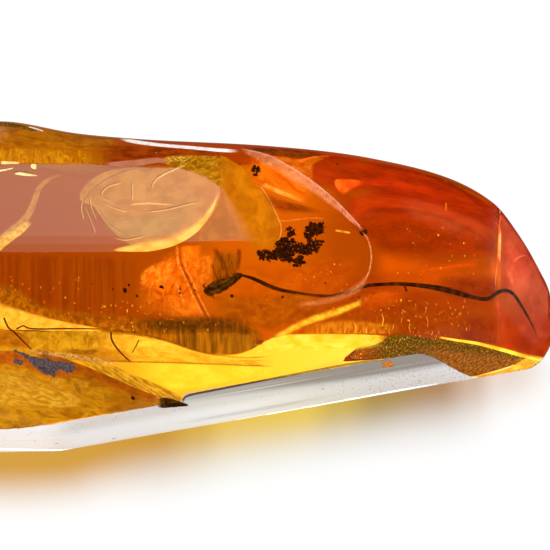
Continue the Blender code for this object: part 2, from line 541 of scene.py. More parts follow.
class Sheets(Parts):
    """Thin sheets inside the stone."""

    def __init__(self, sight):
        super().__init__(sight)
        self.drawn, self.span = [], []

    def grid(self, rows, material):
        """rows holds lines of (column, row, depth, share along, share across)."""
        slot = self.slot_of(material)
        numbers = []
        for line in rows:
            numbers.append([])
            for column, row, depth, along_share, across_share in line:
                place = self.sight.at(column, row, depth)
                if place is None:
                    numbers[-1].append(None)
                    continue
                numbers[-1].append(len(self.vertices))
                self.vertices.append(place)
                self.drawn.append((column / 100, row / 100))
                self.span.append((along_share, across_share))
        for line, following in zip(numbers, numbers[1:]):
            for corners in zip(line, line[1:], following[1:], following):
                if None not in corners:
                    self.faces.append(corners)
                    self.slots.append(slot)

    def patch(self, outline, depth, material, bulge=0.0, step=3.0, rough=0.0):
        """A sheet between the upper and lower edge of an outline of (column, upper row, lower row)."""
        outline = np.array(outline, float)
        count = max(LEAST_STEPS, int((outline[-1, 0] - outline[0, 0]) / step))
        lines = smooth_path(outline, count)
        lines[:, 1:] += np.random.default_rng(len(self.vertices)).normal(0, 1, (count, 2)) * rough
        across = max(LEAST_STEPS, int(np.ptp(outline[:, 1:]) / step / PATCH_ACROSS))
        shares = list(np.linspace(0.0, 1.0, count))
        if outline[0, 0] <= 0.0:
            steps = np.linspace(1.0, 0.0, LEFT_STEPS, endpoint=False)
            before = [(lines[0, 0] - LEFT_RUN * share, lines[0, 1], lines[0, 2]) for share in steps]
            lines = np.vstack((before, lines))
            shares = [-LEFT_FADE * share for share in steps] + shares
        rows = []
        for s, (column, upper, lower) in zip(shares, lines):
            rows.append([])
            for j in range(across + 1):
                t = j / across
                deep = depth + bulge * math.sin(math.pi * max(s, 0.0)) * math.sin(math.pi * t)
                rows[-1].append((column, upper + (lower - upper) * t, deep, s, t))
        self.grid(rows, material)

    def ribbon(self, path, width, depth, material, taper=(0.0, 0.0), step=2.5):
        """A strip along a path of (column, row), width pixels wide and narrower towards its ends by taper."""
        line = even_path(path, step, LEAST_STEPS)
        rows = []
        for i, ((column, row), (run, rise)) in enumerate(zip(line, unit(np.gradient(line, axis=0)))):
            s = i / (len(line) - 1)
            half = width / 2 * (1 - taper[0] * (1 - s) ** 2) * (1 - taper[1] * s ** 2)
            rows.append([])
            for j in range(RIBBON_ACROSS + 1):
                t = j / RIBBON_ACROSS
                offset = (2 * t - 1) * half
                rows[-1].append((column - rise * offset, row + run * offset, depth, s, t))
        self.grid(rows, material)

    def zone(self, outline, depth, *look, bulge=0.0, step=3.0, rough=0.0, **more):
        """A patch with a veil of its own."""
        self.patch(outline, depth, veil(*look, **more), bulge, step, rough)

    def line(self, path, width, depth, *look, taper=(0.0, 0.0), step=2.5, **more):
        """A ribbon with a veil of its own."""
        self.ribbon(path, width, depth, veil(*look, **more), taper, step)

    def finish(self, mesh):
        corners = np.zeros(len(mesh.loops), int)
        mesh.loops.foreach_get("vertex_index", corners)
        for map_name, values in (("drawn", self.drawn), ("span", self.span)):
            layer = mesh.uv_layers.new(name=map_name)
            layer.uv.foreach_set("vector", np.array(values, np.float32)[corners].ravel())
        mesh.shade_smooth()


RAGGED_GRAIN = 22.0         # how fine the unevenness of ragged edges is


def veil(name, dark, light, alpha, glow=0.5, grain=(8.0, 8.0), contrast=(0.35, 0.65), detail=4.0,
         soft=(0.0, 0.0, 0.0, 0.0), gaps=0.0, turn=0.0, warp=0.0, ragged=0.0, follow="drawn"):
    """A translucent layer of two colours, from 0 to 255, that glows with its colour by glow: painted light.

    grain is how fine its pattern is along and across the picture, or the sheet where follow is "span".
    contrast is where the pattern turns from dark to light, soft how far it fades at the start, the end, the
    upper and the lower edge, gaps how much of it breaks up, warp how much the pattern swirls and ragged how
    uneven the edges are.
    """
    material, nodes = new_material(name)
    column, row = nodes.drawn(follow)
    c, s = math.cos(math.radians(turn)), math.sin(math.radians(turn))
    place = nodes.point((column * c + row * s) * grain[0], (row * c - column * s) * grain[1])
    pattern = nodes.noise(place, 1.0, detail, 0.6, warp)
    colour = nodes.mixed(pattern.ramp(*contrast), linear(*dark), linear(*light))
    cover = alpha
    shares = nodes.drawn("span")
    if ragged > 0:
        column, row = nodes.drawn("drawn")
        place_drawn = nodes.point(column * RAGGED_GRAIN, row * RAGGED_GRAIN)
        drift = nodes.noise(place_drawn, 1.0, 3.0, 0.6) * (2 * ragged) - ragged
        shares = [share + drift for share in shares]
    if soft[0] == 0:
        cover = shares[0].ramp(ragged - LEFT_FADE, -ragged) * cover
    for value, start, stop in ((shares[0], soft[0], soft[1]), (shares[1], soft[2], soft[3])):
        if start > 0:
            cover = value.ramp(ragged * 0.6, ragged * 0.6 + start) * cover
        if stop > 0:
            cover = value.ramp(1.0 - ragged * 0.6, 1.0 - ragged * 0.6 - stop) * cover
    if gaps > 0:
        other = nodes.noise(place, 0.6, detail + 2.0, 0.7)
        cover = other.ramp(0.3 + 0.35 * gaps, 0.3 + 0.35 * gaps - 0.12, 1.0 - gaps, 1.0) * cover
    shader = nodes.add("ShaderNodeBsdfPrincipled", inputs={
        "Base Color": colour, "Roughness": 0.5, "Specular IOR Level": 0.0, "Alpha": cover,
        "Emission Color": colour, "Emission Strength": glow})
    nodes.output(shader["BSDF"])
    return material


# ---------------------------------------------------------------- flow layers and colour zones, partly painted light and shade

# Sheets are given as (column, upper row, lower row) and lines as (column, row), in pixels.
TOP_BROWN = ((0, 123, 149), (26, 127, 149), (44, 131, 150), (75, 135, 151), (119, 140, 151))
TOP_GOLD = ((0, 145, 164), (40, 146, 164), (80, 147, 164.5), (118, 148, 164))
TOP_RUST = ((84, 141, 163), (115, 144, 163), (160, 147, 157), (200, 150, 156), (232, 152, 158))
LEFT_BROWN = ((0, 252, 306), (40, 252, 320), (80, 252, 330), (115, 253, 334), (150, 256, 334))
LEFT_SHADE = (
    (0, 276, 306), (20, 286, 311), (40, 300, 321), (70, 306, 330), (110, 310, 336), (150, 314, 340),
    (186, 318, 346),
)
# LEFT_GOLD, GOLD_BELOW, GOLD_RIGHT, STRIP_TOP and STRIP_BRIGHT paint the bright yellow light that comes
# through the low front of the stone.
LEFT_GOLD = (
    (0, 301, 330), (18, 307, 330), (35, 313, 330), (53, 318, 331), (70, 322, 331), (88, 325.5, 332),
    (106, 329, 333),
)
GOLD_RIGHT = (
    (86, 330, 361), (112, 333, 361), (135, 335, 362), (160, 340, 362.5), (185, 349, 363), (215, 357, 364.5),
    (240, 359.5, 366), (276, 359, 367),
)
GOLD_BELOW = (
    (0, 330, 352), (30, 331, 356), (60, 331, 360), (98, 331, 361), (135, 334, 362), (165, 340, 362.5),
)
RUSTY_LEFT = ((0, 328, 349), (12, 330, 350), (24, 334, 350), (34, 344, 350))
CRUMPLED = (
    (128, 290, 306), (140, 270, 318), (156, 256, 322), (172, 244, 324), (190, 242, 326), (206, 246, 326),
    (217, 256, 306),
)
CRUMPLED_LIGHT = ((136, 276, 286), (146, 264, 292), (158, 257, 294), (170, 255, 288), (180, 256, 284))
CRUMPLED_RIGHT = ((187, 250, 276), (196, 246, 296), (206, 246, 294), (216, 252, 278))
CRUMPLED_TOP = ((172, 248, 258), (182, 243.5, 266), (193, 242.5, 268), (205, 243.5, 260))
CRUMPLED_LOW = ((158, 298, 318), (175, 290, 323), (192, 290, 324), (209, 300, 320))
OLIVE_BUMP = (
    (128, 318, 334), (145, 317, 336.5), (163, 316, 340), (180, 314, 347), (197, 313, 352.5),
    (216, 312, 355.5), (236, 313, 355.5), (248, 319, 352), (259, 327, 346), (268, 334, 340),
)
BUMP_LIGHT = ((218, 332, 354), (232, 330, 354.5), (246, 331, 351.5), (258, 334, 346))
BUMP_TOP = (
    (112, 313, 331), (140, 312, 334), (170, 313, 338), (200, 312, 336), (236, 312, 336), (256, 318, 338),
    (272, 327, 338),
)
BUMP_RIM = (
    (128, 332), (145, 335), (163, 339), (180, 345.5), (197, 351), (216, 354.2), (236, 354), (250, 349.5),
    (264, 341.5), (280, 335),
)
WINDOW_OLIVE = ((196, 284, 318), (230, 290, 319), (265, 288, 333), (300, 288, 326), (342, 290, 312))
WINDOW_GLOW = ((248, 155, 182), (262, 160, 189), (278, 165, 195), (296, 173, 202), (316, 187, 207))
WINDOW_FIRE = ((260, 183), (270, 187.5), (282, 193), (294, 197.5), (308, 203))
WINDOW_FLARE = ((254, 158), (264, 163), (276, 169), (290, 178), (304, 188))
WINDOW_BROWN = (
    (259, 190, 199), (269, 193, 208), (282, 198, 215), (298, 202.5, 215), (314, 207, 215), (327, 211, 215),
)
WINDOW_RIPPLE = ((268, 218), (285, 221), (300, 219), (318, 218), (335, 222))
WINDOW_LOW = ((205, 262, 312), (250, 258, 325), (300, 256, 310), (345, 252, 296), (368, 256, 284))
TOP_DARK = (
    (305, 171, 174), (314, 163, 188), (322, 158.5, 194), (330, 155, 198), (345, 157, 202), (360, 160, 200),
    (400, 167, 208), (450, 182, 222), (499, 209, 240),
)
OLIVE_CREST = (
    (236, 146, 149.5), (255, 147.5, 154), (270, 148, 156), (290, 149.5, 157), (312, 151.5, 157),
    (330, 153, 156),
)
ORANGE_TOP = (
    (264, 154.5, 158), (274, 155.5, 163), (286, 156, 170), (298, 157.5, 178), (306, 159, 182),
    (315, 162, 184),
)
ORANGE_RAY = ((296, 163), (308, 158.5), (320, 156.3), (334, 155.5))
FIRE_WEDGE = (
    (333.5, 180.5, 182.5), (336, 178.8, 188), (340, 178.2, 194), (344, 178.3, 196.5), (350, 178.8, 191.5),
    (357, 179.6, 187.8), (366, 181.8, 185.2),
)
RED_STREAK = ((350, 176, 184), (372, 177, 187), (400, 180, 189), (425, 186, 194), (450, 195, 202))
ORANGE_POOL = ((350, 300, 314), (370, 290, 314), (392, 287, 309), (412, 290, 302))
DEEP_RIGHT = ((424, 280, 292), (444, 273, 300), (466, 271, 306), (485, 271, 308), (498, 271, 306))
RED_GLOW = (
    (343, 203, 222), (352, 196, 227), (365, 191.5, 222), (385, 190.5, 217), (405, 192, 216),
    (430, 199, 220), (460, 210, 228), (492, 226, 242),
)
DARK_ARC = ((352, 216), (375, 211), (405, 211), (435, 216), (460, 225), (480, 236), (496, 250))
MID_DARK = (
    (326, 176, 188), (345, 190, 226), (372, 196, 250), (400, 198, 272), (440, 208, 266), (475, 222, 262),
    (498, 236, 258),
)
RED_BAND = ((330, 300, 322), (360, 272, 322), (400, 262, 318), (450, 262, 322), (497, 262, 330))
LOW_GRAIN = (
    (262, 318, 333), (300, 306, 334), (350, 298, 336), (400, 290, 336), (450, 300, 340), (496, 304, 346),
)
# Painted bright yellow light through the low front, continued to the right.
STRIP_TOP = (
    (254, 349, 356), (266, 340, 353), (285, 334, 352), (310, 333, 352), (345, 333, 352), (375, 334, 350),
    (392, 336, 346),
)
STRIP_BRIGHT = (
    (118, 363, 368), (135, 363, 377), (160, 363, 390), (190, 364, 394), (230, 366, 384), (275, 367, 376),
)
LENS = (
    (342, 355, 357), (354, 350.5, 358), (365, 347, 358.5), (381, 341.5, 358.5), (388, 336, 358.6),
    (396, 333.5, 358.8), (412, 334.5, 361), (425, 336.5, 366), (438, 338, 370), (452, 340, 374),
    (465, 341.5, 377), (476, 343.5, 376.5), (488, 346.3, 373.2), (500, 349.5, 369.7), (514, 354, 365),
    (523, 357.5, 362.6), (528, 360.3, 361.6),
)
LENS_BROWN = (
    (404, 352, 360), (418, 345, 363), (432, 343, 368), (452, 345.5, 374), (465, 347.5, 377),
    (476, 349.5, 376.5), (488, 351.5, 373), (500, 353.5, 369.5), (514, 357, 365), (523, 359.8, 362.8),
)
TIP_YELLOW = (
    (478, 374.5, 378.5), (490, 373, 377.5), (508, 368, 375), (520, 361, 372), (530, 356, 370),
    (537, 357, 368.5), (543, 358, 365), (549, 359, 361),
)
# END_TOP: the end facet's own red with a painted pinkish reflection over it.
END_TOP = (
    (500, 213, 320), (508, 222.5, 326), (516, 234, 332), (524, 247, 336), (532, 260.5, 338),
    (540, 275, 338), (548, 292, 336),
)
END_LOW = (
    (490, 288, 343), (500, 292, 348), (508, 296, 351), (520, 300, 354.5), (532, 304, 357),
    (541, 306, 358.5), (549, 308, 350), (556, 309, 340),
)
# A faint painted reflection of a lamp on the right slope.
REFLECTION_RIGHT = ((392, 194, 214), (420, 196, 226), (450, 205, 238), (480, 218, 247), (497, 230, 252))
LOW_DEEP = ((452, 320, 337), (468, 314, 341), (484, 311, 344), (498, 312, 346))
GLINT_BELOW = (
    (300, 328, 334), (315, 322, 334), (332, 319, 334), (350, 318, 334), (380, 321, 334), (406, 323, 334),
)
GOLD_GLEAM = ((122, 338, 349), (140, 336.5, 350), (158, 339, 353), (175, 344.5, 356), (192, 352, 357))
GOLD_DULL = (
    (62, 350, 361), (84, 346, 361.5), (100, 345, 362), (116, 347, 362.5), (132, 351, 363), (146, 356, 363),
)
END_LIGHT = ((503, 224, 292), (512, 236, 298), (522, 250, 300), (532, 264, 292))
END_RIM = ((500, 212), (508, 221.7), (516, 233), (524, 246), (532, 259.5), (540, 274), (548, 290.5))


def flow_veils(sight):
    sheets = Sheets(sight)
    sheets.zone(TOP_BROWN, 0.5, "top brown", (160, 90, 4), (218, 140, 22), 0.85, 0.55, (6, 16), (0.3, 0.75),
                soft=(0, 0.1, 0.02, 0.2), turn=5, warp=0.6)
    sheets.zone(TOP_GOLD, 0.4, "top gold", (176, 94, 3), (240, 172, 24), 0.85, 0.6, (26, 10), (0.3, 0.75),
                6.0, soft=(0, 0.5, 0.35, 0.08), warp=1.2)
    sheets.zone(TOP_RUST, 0.45, "top rust", (132, 40, 6), (196, 86, 18), 0.8, 0.4, (6, 22), (0.35, 0.7),
                soft=(0.25, 0.15, 0.15, 0.1))
    sheets.zone(LEFT_BROWN, 2.5, "brown streaks", (130, 44, 1), (204, 104, 6), 0.6, 0.42, (24, 0.9),
                (0.3, 0.75), 3.0, soft=(0, 0.3, 0.12, 0.08), gaps=0.3)
    sheets.zone(LEFT_SHADE, 1.4, "olive shade", (150, 88, 2), (232, 146, 12), 0.75, 0.5, (18, 18),
                (0.35, 0.7), 5.0, soft=(0, 0.15, 0.55, 0.08), warp=0.5)
    sheets.zone(LEFT_GOLD, 1.0, "left gold", (232, 162, 26), (254, 206, 74), 0.95, 0.9, (10, 12),
                (0.3, 0.7), soft=(0, 0.1, 0.22, 0))
    sheets.zone(GOLD_BELOW, 0.6, "worn gold", (168, 108, 6), (224, 166, 28), 0.88, 0.75, (12, 10),
                (0.3, 0.7), 6.0, soft=(0, 0.4, 0.02, 0.05), turn=15, warp=1.2)
    sheets.zone(GOLD_RIGHT, 0.55, "clear gold", (216, 150, 18), (246, 196, 52), 0.85, 0.85, (9, 22),
                (0.3, 0.7), 6.0, soft=(0.22, 0.1, 0.04, 0.05), turn=15, warp=0.8)
    sheets.zone(RUSTY_LEFT, 0.5, "rusty patch", (166, 88, 4), (202, 122, 12), 0.85, 0.6, (10, 14),
                soft=(0, 0.3, 0.1, 0.3))
    sheets.zone(CRUMPLED, 3.0, "crumpled orange", (196, 88, 4), (244, 142, 24), 0.85, 0.75, (12, 7),
                (0.35, 0.65), 7.0, soft=(0.4, 0.22, 0.2, 0.25), turn=20, warp=1.2, ragged=0.1, bulge=0.5)
    sheets.zone(CRUMPLED_LIGHT, 2.8, "crumpled light", (226, 108, 6), (252, 172, 58), 0.9, 0.9, (22, 15),
                (0.38, 0.68), 7.0, soft=(0.2, 0.15, 0.2, 0.3), turn=30, warp=0.8, ragged=0.14, bulge=0.2)
    sheets.zone(CRUMPLED_RIGHT, 2.8, "crumpled glow", (214, 102, 6), (248, 154, 42), 0.85, 0.85, (18, 18),
                (0.38, 0.7), 7.0, soft=(0.2, 0.2, 0.2, 0.3), turn=20, warp=0.8, ragged=0.14, bulge=0.2)
    sheets.zone(CRUMPLED_TOP, 2.75, "crumpled top", (230, 108, 4), (252, 152, 30), 0.85, 0.85, (14, 14),
                (0.35, 0.7), 6.0, soft=(0.3, 0.25, 0.15, 0.35), ragged=0.08)
    sheets.zone(CRUMPLED_LOW, 2.7, "crumpled red", (214, 108, 5), (250, 156, 46), 0.8, 0.85, (30, 12),
                (0.4, 0.68), 7.0, soft=(0.3, 0.25, 0.3, 0.3), turn=-25, warp=0.8, ragged=0.12, bulge=0.2)
    sheets.zone(WINDOW_OLIVE, 1.6, "olive gold", (146, 72, 2), (208, 120, 8), 0.6, 0.5, (8, 12),
                (0.35, 0.7), soft=(0.25, 0.3, 0.35, 0.2))
    sheets.zone(OLIVE_BUMP, 0.7, "olive streaks", (100, 48, 2), (202, 118, 8), 0.94, 0.55, (20, 2.5),
                (0.36, 0.68), 6.0, soft=(0.22, 0.12, 0.4, 0.04), warp=0.35, ragged=0.03)
    sheets.zone(BUMP_LIGHT, 0.68, "bump light", (160, 88, 3), (232, 146, 14), 0.45, 0.65, (26, 2.5),
                (0.36, 0.66), 6.0, soft=(0.2, 0.15, 0.3, 0.05), warp=0.3)
    sheets.zone(BUMP_TOP, 0.65, "olive grain", (66, 34, 2), (144, 86, 8), 0.9, 0.42, (26, 24), (0.36, 0.72),
                7.0, soft=(0.3, 0.3, 0.35, 0.4), gaps=0.15, ragged=0.06)
    sheets.zone(WINDOW_GLOW, 2.0, "orange glow", (218, 92, 4), (246, 136, 22), 0.8, 0.75, (5, 14),
                soft=(0.15, 0.25, 0.12, 0.15), turn=28, warp=0.8)
    sheets.zone(WINDOW_BROWN, 1.6, "window brown", (132, 44, 5), (190, 76, 14), 0.8, 0.45, (10, 22),
                (0.35, 0.7), 5.0, soft=(0.3, 0.4, 0.3, 0.5), turn=22, warp=0.6)
    sheets.zone(WINDOW_LOW, 3.0, "window orange", (206, 82, 2), (238, 114, 6), 0.5, 0.6, (6, 9),
                soft=(0.3, 0.2, 0.3, 0.3), turn=-15, warp=1.0)
    sheets.zone(TOP_DARK, 0.9, "dark red", (162, 38, 4), (208, 58, 8), 0.85, 0.5, (3, 10), (0.3, 0.7),
                soft=(0.06, 0.04, 0.06, 0.4), turn=15)
    sheets.zone(OLIVE_CREST, 0.6, "brown crest", (98, 44, 5), (164, 84, 10), 0.85, 0.45, (8, 24),
                soft=(0.25, 0.2, 0.05, 0.25), turn=5)
    sheets.zone(ORANGE_TOP, 0.7, "orange top", (198, 74, 3), (240, 138, 34), 0.88, 0.8, (8, 16),
                (0.35, 0.7), soft=(0.2, 0.12, 0.15, 0.4), turn=10)
    sheets.zone(MID_DARK, 2.6, "deep orange", (156, 42, 1), (194, 60, 2), 0.68, 0.42, (4, 7),
                soft=(0.22, 0.05, 0.2, 0.35))
    sheets.zone(RED_BAND, 2.4, "red orange", (172, 54, 2), (206, 74, 4), 0.45, 0.5, (4, 9),
                soft=(0.3, 0.05, 0.3, 0.35))
    sheets.zone(RED_GLOW, 1.3, "red glow", (192, 54, 8), (220, 72, 14), 0.75, 0.6, (4, 9), (0.35, 0.7),
                soft=(0.12, 0.1, 0.2, 0.4))
    sheets.zone(RED_STREAK, 0.85, "red streak", (200, 50, 6), (222, 70, 14), 0.65, 0.6, (4, 16),
                soft=(0.25, 0.3, 0.3, 0.35), turn=12)
    sheets.zone(DEEP_RIGHT, 1.25, "deep right", (140, 36, 1), (178, 56, 2), 0.75, 0.4, (6, 8),
                soft=(0.5, 0.04, 0.35, 0.45))
    sheets.zone(ORANGE_POOL, 1.4, "orange pool", (220, 84, 2), (244, 114, 8), 0.7, 0.7, (8, 10),
                soft=(0.3, 0.35, 0.35, 0.4))
    sheets.zone(FIRE_WEDGE, 0.8, "fire wedge", (232, 78, 10), (255, 122, 34), 0.92, 0.9, (10, 10),
                (0.35, 0.7), soft=(0.1, 0.4, 0.12, 0.3))
    sheets.zone(LOW_GRAIN, 1.2, "grainy orange", (140, 46, 1), (216, 104, 8), 0.5, 0.45, (22, 16),
                (0.35, 0.75), 6.0, soft=(0.25, 0.1, 0.35, 0.08), gaps=0.3)
    sheets.zone(STRIP_TOP, 0.5, "yellow strip", (244, 196, 32), (255, 228, 80), 0.92, 0.95, (8, 12),
                soft=(0.1, 0.1, 0.1, 0.35), ragged=0.03)
    sheets.zone(STRIP_BRIGHT, 0.55, "bright strip", (246, 200, 38), (254, 216, 54), 0.8, 0.95, (5, 8),
                soft=(0.35, 0.1, 0.02, 0.25))
    sheets.zone(LENS, 0.07, "olive lens", (90, 60, 0), (216, 154, 10), 0.98, 0.5, (60, 46), (0.44, 0.72),
                7.0, soft=(0.26, 0.05, 0.05, 0.02), turn=-20, ragged=0.02)
    sheets.zone(LENS_BROWN, 0.05, "brown lens", (118, 54, 5), (212, 134, 40), 0.9, 0.55, (26, 90),
                (0.36, 0.68), 6.0, soft=(0.4, 0.03, 0.3, 0.03), turn=-38)
    sheets.zone(REFLECTION_RIGHT, 0.32, "right haze", (204, 84, 34), (224, 108, 58), 0.34, 0.7, (5, 7),
                soft=(0.3, 0.2, 0.3, 0.4))
    sheets.zone(LOW_DEEP, 1.0, "low depth", (144, 42, 1), (174, 58, 2), 0.7, 0.45, (12, 10),
                soft=(0.4, 0.05, 0.4, 0.1))
    sheets.zone(GLINT_BELOW, 0.6, "lit grain", (200, 98, 6), (242, 156, 26), 0.65, 0.75, (24, 10),
                (0.35, 0.65), 6.0, soft=(0.2, 0.3, 0.35, 0.05))
    sheets.zone(GOLD_GLEAM, 0.5, "gold gleam", (242, 178, 34), (255, 214, 72), 0.8, 0.85, (9, 20),
                (0.3, 0.7), soft=(0.3, 0.35, 0.2, 0.4), turn=15)
    sheets.zone(GOLD_DULL, 0.5, "dull gold", (172, 108, 8), (206, 140, 22), 0.75, 0.7, (10, 22), (0.3, 0.7),
                6.0, soft=(0.25, 0.4, 0.45, 0.05), turn=15, warp=0.8)
    sheets.zone(END_TOP, 0.3, "pinkish haze", (194, 68, 26), (216, 96, 54), 0.85, 0.6, (5, 4),
                soft=(0.03, 0, 0, 0.45))
    sheets.zone(END_LIGHT, 0.28, "end light", (218, 92, 52), (238, 122, 84), 0.65, 0.65, (5, 4),
                soft=(0.35, 0.35, 0.35, 0.4))
    sheets.zone(END_LOW, 0.25, "red depth", (184, 50, 4), (210, 72, 12), 0.85, 0.6, (5, 4),
                soft=(0.25, 0, 0.5, 0.02))
    sheets.zone(TIP_YELLOW, 0.03, "tip yellow", (226, 150, 26), (252, 202, 60), 0.95, 0.9, (8, 10),
                soft=(0.08, 0, 0.1, 0), step=1.0)
    sheets.make("flow_layers_and_painted_light", "fracture")


SWIRL = (
    (0, 240), (10, 232), (20, 224), (28, 215), (33, 205), (36, 196), (40, 187), (48, 180), (58, 175.5),
    (72, 170),
)
SWIRL_GOLD = ((-8, 250), (2, 242), (12, 235), (21, 229), (28, 223), (34, 216))
CREASE = ((177, 240), (178, 262), (185, 278), (192, 294), (199, 308), (208, 324))
ORANGE_FLOW = ((412, 274), (430, 269.5), (450, 267), (466, 264.5), (480, 263))
EDGE_GLINT = ((266, 341), (286, 332), (306, 322), (326, 315.5), (342, 310), (357, 304), (370, 297))
# A painted glint along the left edge of the end facet; END_GLINT is its brighter core.
END_EDGE_GLINT = ((501, 212), (499.5, 225), (499, 238), (497.5, 262), (495.5, 280), (496, 296))
END_GLINT = ((500.5, 226), (500, 240), (499.5, 254), (500, 266))
END_STRIPE = ((496, 294), (500, 312), (506, 330), (514, 347))
END_ARC = ((512, 263), (519, 257), (528, 255))
END_FLAME = ((509, 268), (511, 277), (513, 286))
LENS_RIM = (
    (438, 337), (455, 340), (470, 342.2), (480, 344), (500, 349.2), (520, 354.6), (533, 357.6), (546, 360),
)
FOOT_RIM = ((474, 377.2), (490, 375.2), (506, 372.6), (522, 369.6), (538, 366))
STRIP_LINE = ((98, 361), (130, 361.6), (175, 362.6), (225, 364.5), (276, 366.7))
BASE_LINE = (
    (96, 329.5), (120, 331), (150, 336), (176, 344), (205, 353), (240, 357.5), (262, 357), (275, 355),
)


def flow_lines_and_glints(sight):
    sheets = Sheets(sight)
    pale = veil("pale crease highlight", (214, 92, 8), (255, 190, 100), 0.75, 0.85, (16, 24),
                soft=(0.2, 0.2, 0.4, 0.4))
    thin_dark = veil("thin dark line", (112, 66, 4), (170, 112, 12), 0.75, 0.35, (30, 30),
                     soft=(0.1, 0.1, 0.3, 0.3), gaps=0.3)
    sheets.line(SWIRL, 11.0, 3.0, "swirl tan", (186, 128, 72), (214, 160, 98), 0.75, 0.7, (16, 16),
                (0.33, 0.6), 7.0, soft=(0.0, 0.3, 0.2, 0.2), ragged=0.08, taper=(0.0, 0.85))
    sheets.line(SWIRL_GOLD, 15.0, 2.9, "swirl gold", (210, 152, 54), (252, 218, 118), 0.9, 0.92, (24, 24),
                (0.33, 0.6), 7.0, soft=(0.0, 0.15, 0.3, 0.08), gaps=0.2, ragged=0.12, taper=(0.0, 0.7))
    # The crease is drawn as pale lines of painted highlight beside a line of painted shade.
    sheets.ribbon(CREASE, 3.0, 2.7, pale)
    sheets.line([(column + 3, row) for column, row in CREASE], 3.0, 2.7, "crease shade", (150, 54, 1),
                (190, 80, 4), 0.7, 0.4, (10, 20), soft=(0.2, 0.2, 0.4, 0.4))
    sheets.ribbon([(column + 7, row + 2) for column, row in CREASE], 2.6, 2.7, pale)
    sheets.ribbon([(column - 6, row + 12) for column, row in CREASE[1:4]], 2.4, 2.7, pale)
    sheets.line(ORANGE_FLOW, 15.0, 2.0, "orange flow", (220, 76, 1), (240, 98, 4), 0.6, 0.75, (4, 14),
                soft=(0.2, 0.1, 0.5, 0.5), taper=(0.8, 0.3))
    sheets.line(EDGE_GLINT, 15.0, 0.3, "gold glint", (238, 148, 14), (255, 204, 52), 0.95, 0.97, (14, 14),
                soft=(0.15, 0.15, 0.45, 0.45), ragged=0.05, taper=(0.6, 0.5))
    sheets.line(END_EDGE_GLINT, 2.6, 0.15, "end line", (236, 92, 24), (255, 160, 80), 0.9, 0.9, (4, 6),
                soft=(0.1, 0.25, 0.3, 0.3), taper=(0.3, 0.5))
    sheets.line(END_GLINT, 6.0, 0.14, "end glint", (250, 150, 50), (255, 206, 120), 0.95, 0.97, (4, 6),
                soft=(0.25, 0.2, 0.35, 0.35), taper=(0.8, 0.9))
    sheets.line(END_RIM, 4.0, 0.02, "end rim", (176, 44, 14), (214, 84, 44), 0.85, 0.6, (8, 8),
                soft=(0.05, 0, 0.1, 0.3), taper=(0.3, 0.0))
    sheets.line(END_STRIPE, 9.0, 0.3, "end stripe", (226, 70, 14), (244, 104, 40), 0.7, 0.7, (4, 4),
                soft=(0.2, 0.2, 0.5, 0.5))
    sheets.line(END_ARC, 2.5, 0.2, "end arc", (238, 140, 100), (250, 190, 150), 0.7, 0.8,
                soft=(0.3, 0.3, 0.4, 0.4), taper=(0.3, 0.5))
    sheets.line(END_FLAME, 11.0, 0.2, "end flame", (226, 96, 50), (244, 140, 90), 0.65, 0.8,
                soft=(0.3, 0.3, 0.5, 0.5), taper=(0.2, 0.9))
    sheets.line(FOOT_RIM, 3.4, 0.02, "orange rim", (214, 112, 22), (250, 186, 62), 0.93, 0.9, (10, 10),
                soft=(0.1, 0.05, 0.3, 0.3), taper=(0.5, -0.2))
    sheets.ribbon(STRIP_LINE, 2.2, 0.45, thin_dark)
    sheets.ribbon(BASE_LINE, 2.2, 0.5, thin_dark)
    sheets.line(BUMP_RIM, 2.6, 0.6, "orange rim line", (176, 74, 4), (214, 108, 10), 0.75, 0.6, (10, 10),
                soft=(0.2, 0.2, 0.4, 0.4), taper=(0.5, 0.5))
    sheets.line(ORANGE_RAY, 3.6, 0.65, "orange ray", (232, 104, 14), (255, 150, 40), 0.85, 0.85, (8, 8),
                soft=(0.15, 0.3, 0.4, 0.4), taper=(0.0, 0.6))
    sheets.line(WINDOW_FIRE, 9.0, 1.9, "bright fire", (246, 132, 24), (255, 190, 96), 0.92, 0.97, (12, 20),
                (0.3, 0.7), soft=(0.1, 0.3, 0.35, 0.4), ragged=0.06, taper=(0.3, 0.5))
    sheets.line(WINDOW_FLARE, 8.0, 1.8, "pale flare", (232, 122, 34), (246, 162, 76), 0.5, 0.9, (10, 20),
                (0.3, 0.7), soft=(0.2, 0.3, 0.35, 0.4), taper=(0.4, 0.5))
    sheets.line(WINDOW_RIPPLE, 4.0, 1.5, "orange ripple", (226, 92, 10), (255, 160, 70), 0.7, 0.85,
                (16, 20), soft=(0.2, 0.25, 0.4, 0.4), gaps=0.2, ragged=0.1, taper=(0.3, 0.5))
    sheets.line(DARK_ARC, 9.0, 1.15, "dark arc", (124, 30, 1), (150, 40, 2), 0.5, 0.3, (4, 10),
                soft=(0.25, 0.15, 0.4, 0.6), taper=(0.0, 0.3))
    sheets.line(LENS_RIM, 4.6, 0.02, "yellow rim", (238, 178, 24), (255, 226, 74), 0.97, 0.97, (8, 8),
                soft=(0.05, 0, 0.25, 0.25), taper=(0.5, -0.35), step=1.0)
    sheets.make("flow_lines_and_glints", "fracture")


